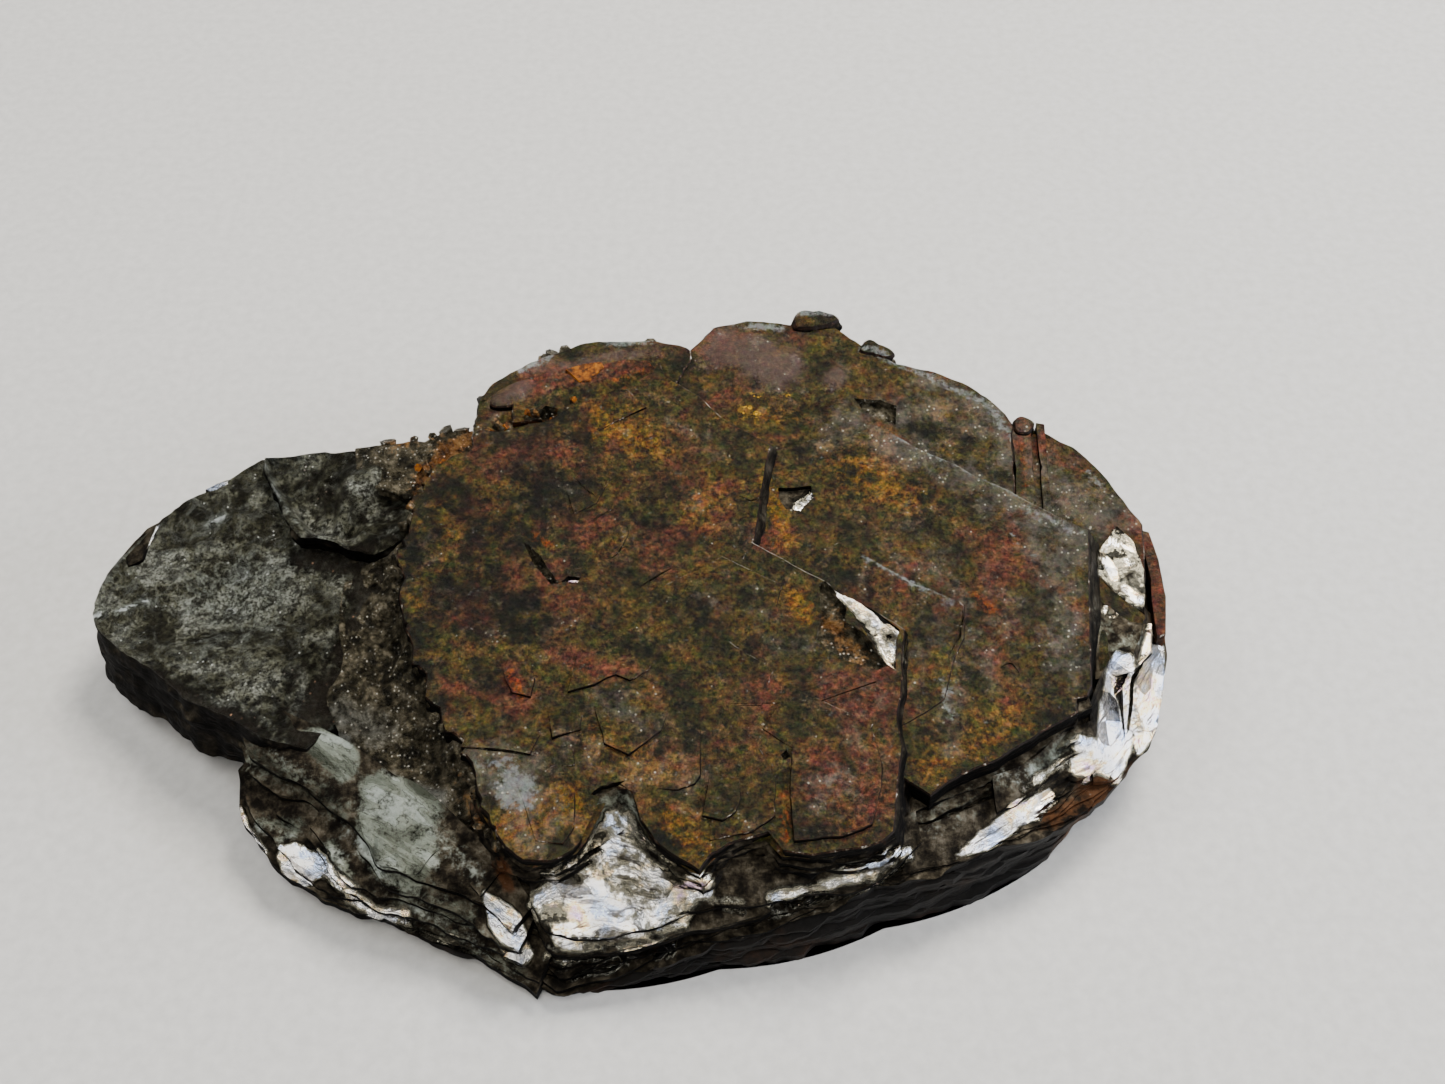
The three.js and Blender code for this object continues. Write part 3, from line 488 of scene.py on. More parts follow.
# Rust coat: limonite and goethite grown on the basal faces. Satin and earthy, mottled from olive
# black through ochre to red brown, in grains under half a millimetre wide and in soft clouds.
finish, place = new_finish("rust_coat")
zone = add(finish, "TexNoise", {"Vector": place, "Scale": per(5.0), "Detail": 6.0, "Roughness": 0.62,
                                "Distortion": 0.5})
cloud = add(finish, "TexNoise", {"Vector": place, "Scale": per(2.0), "Detail": 10.0, "Roughness": 0.76})
other = add(finish, "Mapping", {"Vector": place, "Location": (0.02, 0.01, 0.005)})
mottle = add(finish, "TexNoise", {"Vector": other, "Scale": per(1.4), "Detail": 9.0, "Roughness": 0.78})
speck = add(finish, "TexNoise", {"Vector": place, "Scale": per(0.5), "Detail": 6.0, "Roughness": 0.78})
grain = add(finish, "TexNoise", {"Vector": other, "Scale": per(0.4), "Detail": 5.0, "Roughness": 0.85})
hue = add(finish, "TexNoise", {"Vector": place, "Scale": per(0.6), "Detail": 4.0, "Roughness": 0.8},
          give="Color")
fleck = add(finish, "TexVoronoi", {"Vector": place, "Scale": per(0.4)})


def stained(tone, stain, pattern, weight, low, high, most, colour):
    """The tone under a stain, and the stain's share: it shows where its mark times the weight,
    plus the pattern, rises from low to high."""
    share = add(finish, "Attribute", attribute_name=stain, give="Fac")
    share = add(finish, "Math", {0: share, 1: weight, 2: pattern}, operation="MULTIPLY_ADD")
    share = add(finish, "MapRange", {0: share, 1: low, 2: high, 4: most}, interpolation_type="SMOOTHSTEP")
    return add(finish, "Mix", {0: share, 6: tone, 7: colour}, data_type="RGBA", give=2), share


tone = add(finish, "ValToRGB", {0: cloud}, [(0.36, "#14130b"), (0.45, "#2a2711"), (0.52, "#3e3515"),
                                            (0.59, "#503f17"),
                                            (0.68, "#684f1f")])
tone, share = stained(tone, "red", zone, 0.2, 0.51, 0.68, 0.75, "#582e20")
tone, share = stained(tone, "ochre", mottle, 0.18, 0.54, 0.7, 0.8, "#74500e")
tone, share = stained(tone, "orange", speck, 0.24, 0.66, 0.8, 0.9, "#9a4606")
# the dark mark: dark olive patches of the coat, and painted shade along the crown's left edges and over its
# left side
tone, share = stained(tone, "dark_stain_and_shade", cloud, -0.18, 0.43, 0.28, 0.85, "#0e0e07")
olive = add(finish, "ValToRGB", {0: speck}, [(0.5, 0.0), (0.6, 0.7)])
tone = add(finish, "Mix", {0: olive, 6: tone, 7: "#15160b"}, data_type="RGBA", give=2)
wide = add(finish, "Math", {0: zone, 1: 1.6, 2: -0.8}, operation="MULTIPLY_ADD")
shade = add(finish, "Math", {0: grain, 1: 7.5, 2: wide}, operation="MULTIPLY_ADD")
shade = add(finish, "Math", {0: shade, 1: 3.72}, operation="SUBTRACT")
shade = add(finish, "VectorMath", {0: hue, 1: (2.15, 2.15, 2.42), 2: shade}, operation="MULTIPLY_ADD")
shade = add(finish, "VectorMath", {0: shade, 1: (0.2, 0.2, 0.2)}, operation="MAXIMUM")
tone = add(finish, "Mix", {0: 1.0, 6: tone, 7: shade}, data_type="RGBA", blend_type="MULTIPLY", give=2)
tone, smooth_skin = stained(tone, "mauve", mottle, 0.4, 0.6, 0.95, 0.85, "#3a2b25")
# the haze mark: pale grey over the coat, partly a worn pale skin and partly painted sheen
tone, share = stained(tone, "haze_and_sheen", mottle, 0.2, 0.52, 0.76, 0.6, "#6a665a")
# the bare mark: coat rubbed down to grey metal, and painted highlights along the back rims
tone, rubbed_and_glare = stained(tone, "bare", speck, 0.3, 0.6, 0.8, 0.9, "#868a84")
tone = add(finish, "Mix", {0: 0.3, 6: tone, 7: shade}, data_type="RGBA", blend_type="MULTIPLY", give=2)
# spark: small pale dots where the haze mark is, painted glints
spark = add(finish, "ValToRGB", {0: fleck}, [(0.08, 1.0), (0.24, 0.0)])
# gold: gold dots, metallic, painted glints
gold_glint = add(finish, "Math", {0: add(finish, "Attribute", attribute_name="gold_glint", give="Fac"), 1: 0.34,
                            2: grain},
           operation="MULTIPLY_ADD")
gold_glint = add(finish, "MapRange", {0: gold_glint, 1: 0.69, 2: 0.77})
dots = add(finish, "ValToRGB", {0: fleck}, [(0.28, 1.0), (0.48, 0.1)])
gold_glint = add(finish, "Math", {0: gold_glint, 1: dots}, operation="MULTIPLY")
tone = add(finish, "Mix", {0: gold_glint, 6: tone, 7: "#e6b52e"}, data_type="RGBA", give=2)
rare = add(finish, "Math", {0: add(finish, "Attribute", attribute_name="haze_and_sheen", give="Fac"), 1: 0.11,
                            2: mottle},
           operation="MULTIPLY_ADD")
rare = add(finish, "MapRange", {0: rare, 1: 0.57, 2: 0.64})
spark = add(finish, "Math", {0: spark, 1: rare}, operation="MULTIPLY")
tone = add(finish, "Mix", {0: spark, 6: tone, 7: "#c6c3b0"}, data_type="RGBA", give=2)
metal = add(finish, "Math", {0: rubbed_and_glare, 1: gold_glint}, operation="MAXIMUM")
gloss = add(finish, "MapRange", {0: mottle, 1: 0.35, 2: 0.65, 3: 0.44, 4: 0.64})
rough = add(finish, "MapRange", {0: smooth_skin, 3: 0.75, 4: 0.12})
bump = add(finish, "Bump", {"Height": cloud, "Strength": rough, "Distance": 0.55 * MM})
bump = add(finish, "Bump", {"Height": speck, "Strength": rough, "Distance": 0.4 * MM, "Normal": bump})
bump = add(finish, "Bump", {"Height": grain, "Strength": rough, "Distance": 0.22 * MM, "Normal": bump})
skin = add(finish, "BsdfPrincipled", {"Base Color": tone, "Metallic": metal, "Roughness": gloss,
                                      "Normal": bump,
                                      "Specular IOR Level": 0.16})
add(finish, "OutputMaterial", {"Surface": skin})

# The rim of a plate: brown like the coat, or pale grey where its worn mark is strong, but only on
# rims that look to the back of the stone: partly worn metal, partly a painted highlight on the
# rims that face the light.
finish, place = new_finish("worn_rim_and_highlight")
worn = add(finish, "Attribute", attribute_name="worn", give="Fac")
rubbed_and_glare = add(finish, "TexNoise", {"Vector": place, "Scale": per(1.2), "Detail": 6.0, "Roughness": 0.8})
rubbed_and_glare = add(finish, "Math", {0: rubbed_and_glare, 1: 5.0, 2: -2.1}, operation="MULTIPLY_ADD")
# rims that look to the back get the pale colour: painted highlight on the side toward the light
back = add(finish, "SeparateXYZ", {0: add(finish, "NewGeometry", give="Normal")}, give="Y")
back = add(finish, "MapRange", {0: back, 1: 0.1, 2: 0.4, 4: 0.6})
worn = add(finish, "Math", {0: worn, 1: back}, operation="MULTIPLY")
share = add(finish, "Math", {0: worn, 1: rubbed_and_glare}, operation="ADD")
tone = add(finish, "ValToRGB", {0: share}, [(0.45, "#120a06"), (0.7, "#331d11"), (0.92, "#5e574a"),
                                            (1.2, "#a09c93")])
bump = add(finish, "Bump", {"Height": rubbed_and_glare, "Strength": 0.5, "Distance": 0.06 * MM})
skin = add(finish, "BsdfPrincipled", {"Base Color": tone, "Metallic": 0.35, "Roughness": 0.5, "Normal": bump,
                                      "Specular IOR Level": 0.15})
add(finish, "OutputMaterial", {"Surface": skin})

# ---------------------------------------------------------------------------------------------
# Right plate, one step below the crown, with a low terrace on it. A hexagonal plate of the same
# growth, its front right corner notched and its back corner pale, partly rubbed and partly painted
# sheen.
# ---------------------------------------------------------------------------------------------

RIGHT = 9.6                # level of the right plate's face

plate([(15.6, 12.4), (12.5, 11.1), (9.2, 9.9), (8.0, 3.0), (8.0, -14.0), (17.0, -14.0), (18.5, -15.1),
       (19.7, -14.2),
       (20.9, -13.5), (22.8, -12.7), (24.8, -11.4), (27.9, -9.5), (27.9, -8.6), (28.6, -8.4), (28.9, -7.7),
       (29.2, -4.5),
       (30.0, 3.7), (27.0, 5.5), (25.2, 6.8), (23.0, 8.0), (21.7, 9.0), (19.1, 10.4), (16.9, 12.0)], RIGHT,
      1.6, seed=3,
      core=(19.0, -1.0), rings=0.7, slant=spread(28.6, 0.9))
plate([(12.0, -8.0), (10.4, 1.2), (13.6, 2.7), (15.2, 1.8), (16.3, 1.0), (18.1, -0.3), (21.2, -1.8),
       (21.5, -2.2),
       (21.3, -4.5), (20.6, -5.9), (20.2, -7.3), (19.8, -8.7), (18.9, -9.5), (17.0, -10.6)], RIGHT + 0.1,
      0.7, seed=4,
      rings=0.9, chamfer=0.06, rise=(0.012, 0.008), core=(16.5, -4.0))
plate([(27.9, -9.3), (27.9, -8.0), (28.7, -8.0), (28.9, -8.8)], RIGHT - 0.5, 1.0, seed=56, spacing=0.3,
      rings=0.4,
      skin="laminae", rim="laminae")

# ---------------------------------------------------------------------------------------------
# Back right plate, a little lower again: a rounded back edge, two low mauve domes of goethite grown
# over it, raised chips at the edge, and a hexagonal corner rubbed pale.
# ---------------------------------------------------------------------------------------------

BACK = 9.2                 # level of the back right plate's face

plate([(2.0, 14.0), (9.0, 8.0), (25.5, 6.0), (25.9, 12.6), (25.6, 13.4), (24.5, 14.8), (22.9, 16.1),
       (20.6, 17.2),
       (18.2, 18.0), (16.2, 19.3), (14.1, 21.0), (11.7, 21.3), (7.8, 21.6), (5.5, 21.0), (3.9, 19.1)], BACK,
      1.7,
      seed=5, core=(14.5, 13.5), rings=0.8, bite=0.2)
def smooth(points, count, closed=False):
    """A smooth line through the points: Catmull-Rom arcs, then evenly spaced along its length."""
    spots = np.array(points, float)
    if closed:
        spots = np.concatenate([spots[-1:], spots, spots[:2]])
    else:
        spots = np.concatenate([2 * spots[:1] - spots[1:2], spots, 2 * spots[-1:] - spots[-2:-1]])
    a, b, c, d = (spots[n:len(spots) - 3 + n, None] for n in range(4))
    t = np.linspace(0, 1, 24, endpoint=False)[None, :, None]
    line = 0.5 * (2 * b + (c - a) * t + (2 * a - 5 * b + 4 * c - d) * t ** 2
                  + (3 * b - a - 3 * c + d) * t ** 3)
    line = np.concatenate([line.reshape(-1, line.shape[-1]), spots[-2:-1]])
    length = np.concatenate([[0], np.cumsum(np.linalg.norm(np.diff(line, axis=0), axis=1))])
    even = np.linspace(0, length[-1], count, endpoint=not closed)
    return np.column_stack([np.interp(even, length, axis) for axis in line.T])


def lumps(amount, seed):
    """Rough relief for a crystal's face: noise of three sizes."""
    return lambda x, y: amount * (noise(np.column_stack([x, y]), 2.2, seed) + 0.6 * noise(
        np.column_stack([x, y]), 0.9, seed + 1) + 0.3 * noise(np.column_stack([x, y]), 0.45, seed + 2))


for k, (outline, height) in enumerate((
        ([(5.0, 18.2), (5.6, 19.8), (7.4, 20.9), (9.6, 20.8), (11.3, 19.4), (12.0, 17.6), (11.0, 16.0),
          (8.8, 15.0),
          (6.0, 15.6)], 0.5),
        ([(12.6, 16.4), (13.6, 17.7), (15.0, 17.4), (15.2, 16.2), (13.9, 15.2)], 0.3))):
    edge = smooth([(x, y, BACK - 0.04 + LEAN * y) for x, y in outline], 60, closed=True)
    crystal(edge, 0.8, ["rust_coat"] * 4, bulge=height, rings=0.5, bite=0.2, chamfer=0.02, seed=7 + 50 * k,
            ripple=lambda x, y: 0.05 * noise(np.column_stack([x, y]), 1.4, 8))

# ---------------------------------------------------------------------------------------------
# Far right plate, with a bare silver patch where the coat has flaked off, its near-white colour
# partly painted reflection, the narrow strips that step down to it from the back plate, and the
# brown fin along its outer edge.
# ---------------------------------------------------------------------------------------------

FAR = 8.0                  # level of the far right plate's face

plate([(25.0, 14.0), (25.0, 2.0), (29.2, -6.6), (31.4, -5.8), (33.3, -1.9), (33.8, 2.6), (34.0, 5.4),
       (33.4, 6.6),
       (32.3, 8.6), (31.4, 10.1), (30.0, 11.8), (28.3, 12.9)], FAR, 1.4, seed=8, core=(29.5, 4.0),
      rings=0.7, bite=0.2)
plate([(32.2, 5.4), (30.8, 3.3), (30.4, 1.5), (31.2, 0.4), (32.2, -0.8), (33.2, -1.6), (33.7, 1.8),
       (33.2, 4.0)],
      FAR + 0.04, 0.5, skin="laminae", rim="laminae", seed=9, spacing=0.3, rings=0.35, bite=0.25,
      chamfer=0.04,
      ripple=lambda x, y: 0.12 * noise(np.column_stack([x, y]), 1.5, 58))
plate([(30.3, -0.4), (31.2, -1.0), (32.4, -2.0), (33.6, -2.2), (33.4, -4.2), (31.9, -5.8), (29.4, -6.4),
       (29.6, -3.4)],
      FAR + 0.04, 0.5, skin="laminae", rim="laminae", seed=12, spacing=0.3, rings=0.35, bite=0.25,
      chamfer=0.04,
      ripple=lambda x, y: 0.14 * noise(np.column_stack([x, y]), 1.2, 59))
plate([(33.9, -3.0), (34.5, -2.6), (34.9, 0.2), (34.8, 3.0), (34.4, 5.2), (33.8, 5.4), (34.0, 2.0),
       (33.9, -0.6)],
      FAR - 0.5, 1.8, seed=10, spacing=0.3, rings=0.3, bite=0.06, chamfer=0.08, core=(34.3, 1.4))
for k, (left, right, front, back, level) in enumerate((
        (25.6, 26.9, 6.2, 12.6, -0.3), (26.8, 27.4, 6.0, 12.2, -0.6), (27.3, 27.85, 5.6, 12.8, -0.25))):
    plate([(left, front), (right, front - 0.3), (right + 0.2, back), (left + 0.2, back + 0.1)],
          BACK + level, 1.8,
          seed=60 + k, spacing=0.3, rings=0.3, bite=0.08, chamfer=0.06, ripple=lumps(0.05, 66))
for k, (outline, height) in enumerate((
        ([(11.1, 20.8), (12.2, 20.4), (13.9, 20.6), (14.4, 21.6), (13.2, 22.3), (11.5, 22.2)], 0.45),
        ([(15.5, 18.8), (16.2, 18.4), (17.9, 17.9), (18.1, 18.9), (16.4, 19.9)], 0.3))):
    plate(smooth(outline, 44, closed=True), BACK + height - 0.1, 1.6, seed=56 + k, rings=0.3, bite=0.4,
          bulge=0.1,
          chamfer=0.2, ripple=lumps(0.3, 67 + k))
plate(smooth([(26.0, 12.0), (26.9, 11.8), (27.4, 12.8), (26.6, 13.4), (26.0, 13.0)], 30, closed=True),
      BACK - 0.1, 1.6,
      seed=64, rings=0.3, bite=0.15, bulge=0.15)

# ---------------------------------------------------------------------------------------------
# Back left plates behind the crown, with a flake of bright orange limonite on them, and the low
# ledge that runs from them to the wing.
# ---------------------------------------------------------------------------------------------

BACK_LEFT = 9.7            # level of the back left plates' faces

REAR_LEFT = [(4.2, 18.4), (2.6, 19.3), (0.5, 19.6), (-2.3, 19.6), (-5.1, 18.8), (-8.0, 17.1), (-9.9, 15.5),
             (-10.7, 13.6), (-10.3, 11.0), (-6.1, 10.8), (-0.9, 13.6), (2.4, 14.8)]
plate(smooth(REAR_LEFT, 110, closed=True), BACK_LEFT - 0.25, 1.9, seed=14, rings=0.5, bite=0.3,
      ripple=lumps(0.16, 60))
plate([(1.2, 17.5), (-0.4, 17.6), (-2.1, 17.2), (-3.5, 16.6), (-5.4, 16.2), (-7.4, 15.2), (-8.2, 13.6),
       (-8.0, 12.0),
       (-4.4, 12.6), (0, 14.4), (1.9, 16.4)], BACK_LEFT + 0.15, 1.0, seed=15, bite=0.2, rings=0.5,
      ripple=lumps(0.06, 61))
plate(smooth([(-9.6, 13.6), (-8.2, 13.5), (-7.2, 14.3), (-6.0, 15.4), (-7.2, 15.9), (-9.0, 15.0)], 40,
             closed=True),
      BACK_LEFT + 0.1, 1.2, seed=65, bite=0.15, rings=0.4, bulge=0.25, ripple=lumps(0.05, 62))
plate([(-4.6, 16.5), (-3.6, 15.4), (-2.9, 15.5), (-1.9, 16.7), (-2.1, 17.2), (-3.4, 17.0)], BACK_LEFT + 0.3,
      0.5,
      skin="limonite", side="limonite", rim="limonite", seed=16, spacing=0.3, rings=0.4, bite=0.08,
      chamfer=0.05)
plate([(-9.4, 12.3), (-12.8, 12.0), (-15.5, 11.4), (-18.7, 10.9), (-18.6, 8.0), (-14.5, 6.6), (-12.4, 7.8)],
      BACK_LEFT - 0.75, 1.6, skin="grain_crust", side="grain_crust", rim="grain_crust", seed=17, bite=0.3,
      rings=0.3,
      rise=(0.03, -0.03), ripple=lumps(0.3, 18))

# Limonite: an earthy iron oxide, matt and bright orange brown, with darker crumbs in it.
finish, place = new_finish("limonite")
crumb = add(finish, "TexNoise", {"Vector": place, "Scale": per(0.5), "Detail": 7.0, "Roughness": 0.8})
tone = add(finish, "ValToRGB", {0: crumb}, [(0.38, "#150c03"), (0.46, "#442304"), (0.53, "#743f06"),
                                            (0.64, "#996013")])
bump = add(finish, "Bump", {"Height": crumb, "Strength": 0.7, "Distance": 0.2 * MM})
skin = add(finish, "BsdfPrincipled", {"Base Color": tone, "Roughness": 0.68, "Specular IOR Level": 0.2,
                                      "Normal": bump})
add(finish, "OutputMaterial", {"Surface": skin})

# ---------------------------------------------------------------------------------------------
# Wing: the thick plate on the left, broken with shell-like hollows. Bare hematite, dark olive
# grey with a pearly sheen painted into its colour. It overhangs the ground with a steep front
# side, painted dark as shade.
# ---------------------------------------------------------------------------------------------

WING = [(-35.2, 0.2, 5.8), (-34.6, -0.9, 5.6), (-32.7, -2.9, 5.8), (-30.1, -4.7, 6.2), (-27.4, -7.2, 6.4),
        (-24.2, -8.9, 6.7), (-22.1, -10.3, 6.8), (-19.2, -11.0, 6.6), (-17.0, -8.6, 6.8), (-16.0, -4.0, 7.4),
        (-15.6, 1.0, 8.2), (-16.0, 6.0, 8.8), (-18.0, 10.0, 9.0), (-21.6, 11.0, 9.0), (-25.2, 11.3, 8.6),
        (-27.5, 9.7, 8.2), (-30.4, 8.4, 7.6), (-32.2, 6.3, 7.1), (-34.0, 4.4, 6.6), (-34.9, 2.4, 6.2)]


def wing_face(x, y):
    """A wide dish with low arcs around its middle, a smooth swirl, and small shell-like pits."""
    spots = np.column_stack([x, y])
    dish = -0.7 * np.exp(-((x + 25.0) ** 2 / 20 + (y - 0.6) ** 2 / 14))
    arc = np.hypot(x + 25.5, 1.25 * (y - 0.8)) + 0.9 * noise(spots, 4.0, 19)
    arcs = 0.05 * np.sin(2.2 * arc) * np.clip((arc - 2.5) / 3, 0, 1)
    swells = 0.2 * noise(spots, 3.6, 20) + 0.09 * noise(spots, 1.3, 21) + 0.03 * noise(spots, 0.55, 22)
    pits = -0.35 * np.clip(noise(spots, 1.6, 23) - 0.5, 0, 1)
    return dish + arcs + swells + pits


def wing_side(x, y):
    """The broken front side leans out toward the ground, most of all near the tip."""
    near_tip = np.clip((-14 - x) / 18, 0, 1)
    return np.where(y < 1, 0.5, 0.3), np.where(y < 1, -0.5 - 1.5 * near_tip, -0.4)


crystal(along(WING, 0.36), 3.3, ["underside", "laminae", "bare_hematite", "bare_hematite"], bulge=-0.3,
        ripple=wing_face, slant=wing_side, rings=0.4, bite=0.22, ledge=0.3, chamfer=0.1, seed=70)
plate([(-33.8, 4.4), (-33.2, 3.4), (-32.2, 3.8), (-31.4, 6.9), (-32.4, 6.5), (-33.2, 5.6)], 6.3, 1.2,
      skin="laminae",
      rim="laminae", seed=71, spacing=0.3, rings=0.4, rise=(0.24, -0.08))
plate([(-28.8, 9.0), (-28.1, 9.5), (-27.2, 9.7), (-27.1, 8.9), (-27.9, 8.4)], 7.0, 0.9, skin="laminae",
      rim="laminae",
      seed=72, spacing=0.3, rings=0.4, rise=(0.05, 0.12), bite=0.15)

# Bare hematite: metal with a faint olive oxide skin. Its shell-like fractures shine like pearl, a
# pale colour that is painted sheen, brightest where painted highlights sit on rims and facets, with
# thin painted highlight arcs round the dish and small painted glints. It has small round chips with
# bright rims, and near the granular slope it turns to black grit, which under the folded plate's
# ledge is painted shadow.
finish, place = new_finish("bare_hematite")
pearl = add(finish, "Attribute", attribute_name="pearl", give="Fac")
grit = add(finish, "Attribute", attribute_name="grit", give="Fac")
sheen = add(finish, "TexNoise", {"Vector": place, "Scale": per(3.2), "Detail": 6.0, "Roughness": 0.6,
                                 "Distortion": 0.8})
wisps = add(finish, "TexNoise", {"Vector": place, "Scale": per(1.3), "Detail": 8.0, "Roughness": 0.7,
                                 "Distortion": 1.2})
film = add(finish, "TexNoise", {"Vector": place, "Scale": per(0.7), "Detail": 7.0, "Roughness": 0.76})
fine = add(finish, "TexNoise", {"Vector": place, "Scale": per(0.2), "Detail": 4.0, "Roughness": 0.7})
push = add(finish, "TexNoise", {"Vector": place, "Scale": per(1.2), "Detail": 4.0}, give="Color")
warped = add(finish, "VectorMath", {0: push, 1: (1.0 * MM,) * 3, 2: place}, operation="MULTIPLY_ADD")
chip = add(finish, "TexVoronoi", {"Vector": warped, "Scale": per(1.5)}, give="Distance")
chance = add(finish, "SeparateColor", {0: chip.node.outputs["Color"]}, give="Red")
chance = add(finish, "MapRange", {0: chance, 1: 0.45, 2: 0.95})
dent = add(finish, "ValToRGB", {0: chip}, [(0.0, 0.1), (0.16, 0.0), (0.3, 1.0), (0.38, 0.85)])
dent = add(finish, "Mix", {0: chance, 2: 0.85, 3: dent})
cell = add(finish, "TexVoronoi", {"Vector": place, "Scale": per(0.36)}, give="Color")
tone = add(finish, "ValToRGB", {0: sheen}, [(0.36, "#1c1b13"), (0.46, "#424233"), (0.54, "#686959"),
                                            (0.63, "#8f9287")])
# the pearl mark: pale grey-green painted sheen on the wing's dish
share = add(finish, "Math", {0: pearl, 1: 0.24, 2: wisps}, operation="MULTIPLY_ADD")
share = add(finish, "MapRange", {0: share, 1: 0.5, 2: 0.9, 4: 0.75}, interpolation_type="SMOOTHSTEP")
tone = add(finish, "Mix", {0: share, 6: tone, 7: "#868d86"}, data_type="RGBA", give=2)
olive = add(finish, "ValToRGB", {0: film}, [(0.47, 0.0), (0.56, 0.85)])
tone = add(finish, "Mix", {0: olive, 6: tone, 7: "#1d1a10"}, data_type="RGBA", give=2)
shade = add(finish, "ValToRGB", {0: fine}, [(0.38, "#3c3a36"), (0.49, "#bcbab5"), (0.55, "#ffffff")])
tone = add(finish, "Mix", {0: 0.9, 6: tone, 7: shade}, data_type="RGBA", blend_type="MULTIPLY", give=2)
centred = add(finish, "Mapping", {"Vector": place, "Location": (24.9 * MM, -1.9 * MM, 0.0)})
arcs = add(finish, "TexWave", {"Vector": centred, "Scale": 0.314 / (1.9 * MM), "Distortion": 16.0,
                               "Detail": 3.0,
                               "Detail Scale": per(4.0), "Detail Roughness": 0.58}, wave_type="RINGS",
           rings_direction="Z", give="Fac")
# thin pale arcs round the dish: painted highlights on its low ridges
crest_highlight = add(finish, "ValToRGB", {0: arcs}, [(0.9, 0.0), (0.98, 0.7)])
part = add(finish, "MapRange", {0: wisps, 1: 0.48, 2: 0.56})
crest_highlight = add(finish, "Math", {0: crest_highlight, 1: part}, operation="MULTIPLY")
tone = add(finish, "Mix", {0: crest_highlight, 6: tone, 7: "#8f938a"}, data_type="RGBA", give=2)
# where the pearl mark is strongest it turns near white: painted highlights on rims and facets
painted_glare = add(finish, "Math", {0: pearl, 1: 0.4, 2: wisps}, operation="MULTIPLY_ADD")
painted_glare = add(finish, "MapRange", {0: painted_glare, 1: 1.0, 2: 1.15}, interpolation_type="SMOOTHSTEP")
tone = add(finish, "Mix", {0: painted_glare, 6: tone, 7: "#b9bfbd"}, data_type="RGBA", give=2)
# the grit mark: black granular grit, and painted shadow under the folded plate's ledge
grit_and_shadow = add(finish, "Math", {0: grit, 1: 0.4, 2: film}, operation="MULTIPLY_ADD")
grit_and_shadow = add(finish, "MapRange", {0: grit_and_shadow, 1: 0.6, 2: 0.84, 4: 0.85}, interpolation_type="SMOOTHSTEP")
tone = add(finish, "Mix", {0: grit_and_shadow, 6: tone, 7: "#1a150f"}, data_type="RGBA", give=2)
# pale and copper dots: painted glints
fleck = add(finish, "TexVoronoi", {"Vector": place, "Scale": per(0.28)}, give="Distance")
spark = add(finish, "ValToRGB", {0: fleck}, [(0.12, 1.0), (0.3, 0.0)])
rare = add(finish, "SeparateColor", {0: fleck.node.outputs["Color"]}, give="Green")
rare = add(finish, "MapRange", {0: rare, 1: 0.8, 2: 0.92})
spark = add(finish, "Math", {0: spark, 1: rare}, operation="MULTIPLY")
rare = add(finish, "MapRange", {0: wisps, 1: 0.5, 2: 0.56})
spark = add(finish, "Math", {0: spark, 1: rare}, operation="MULTIPLY")
glint = add(finish, "Mix", {0: grit_and_shadow, 6: "#d3d6cf", 7: "#c98d5e"}, data_type="RGBA", give=2)
tone = add(finish, "Mix", {0: spark, 6: tone, 7: glint}, data_type="RGBA", give=2)
slant = add(finish, "VectorMath", {0: cell, 1: (1000.0,) * 3, 2: (-500.0,) * 3}, operation="MULTIPLY_ADD")
slant = add(finish, "VectorMath", {0: slant, 1: place}, operation="DOT_PRODUCT", give="Value")
slant = add(finish, "Math", {0: slant, 1: grit_and_shadow}, operation="MULTIPLY")
gloss = add(finish, "MapRange", {0: wisps, 1: 0.35, 2: 0.65, 3: 0.48, 4: 0.3})
bump = add(finish, "Bump", {"Height": dent, "Strength": 0.9, "Distance": 0.2 * MM})
bump = add(finish, "Bump", {"Height": arcs, "Strength": 0.5, "Distance": 0.16 * MM, "Normal": bump})
bump = add(finish, "Bump", {"Height": wisps, "Strength": 0.7, "Distance": 0.8 * MM, "Normal": bump})
bump = add(finish, "Bump", {"Height": film, "Strength": 0.7, "Distance": 0.35 * MM, "Normal": bump})
bump = add(finish, "Bump", {"Height": fine, "Strength": 0.6, "Distance": 0.14 * MM, "Normal": bump})
bump = add(finish, "Bump", {"Height": slant, "Strength": 0.9, "Distance": 0.8 * MM, "Normal": bump})
skin = add(finish, "BsdfPrincipled", {"Base Color": tone, "Metallic": 0.7, "Roughness": gloss, "Normal": bump,
                                      "Specular IOR Level": 0.3})
add(finish, "OutputMaterial", {"Surface": skin})

# ---------------------------------------------------------------------------------------------
# Folded plate over the wing's inner corner: laminae that buckled as they grew. It ends in a sharp
# ledge above the wing, and its folds fan out from one point on that ledge.
# ---------------------------------------------------------------------------------------------

FOLDED = [(-24.9, 10.9, 9.2), (-24.7, 9.7, 9.2), (-24.0, 7.9, 9.1), (-23.1, 6.2, 9.0), (-22.3, 5.0, 8.9),
          (-21.5, 4.1, 8.9), (-20.4, 3.8, 9.0), (-19.4, 3.5, 9.1), (-18.6, 3.1, 9.1), (-17.6, 2.3, 9.2),
          (-16.2, 2.0, 9.4), (-15.5, 2.4, 9.6), (-14.4, 2.9, 9.8), (-13.4, 5.6, 10.0), (-13.0, 8.4, 10.0),
          (-14.6, 9.8, 10.0), (-17.3, 11.0, 9.9), (-19.1, 11.3, 9.7), (-21.1, 11.2, 9.5), (-23.1, 11.0, 9.3)]


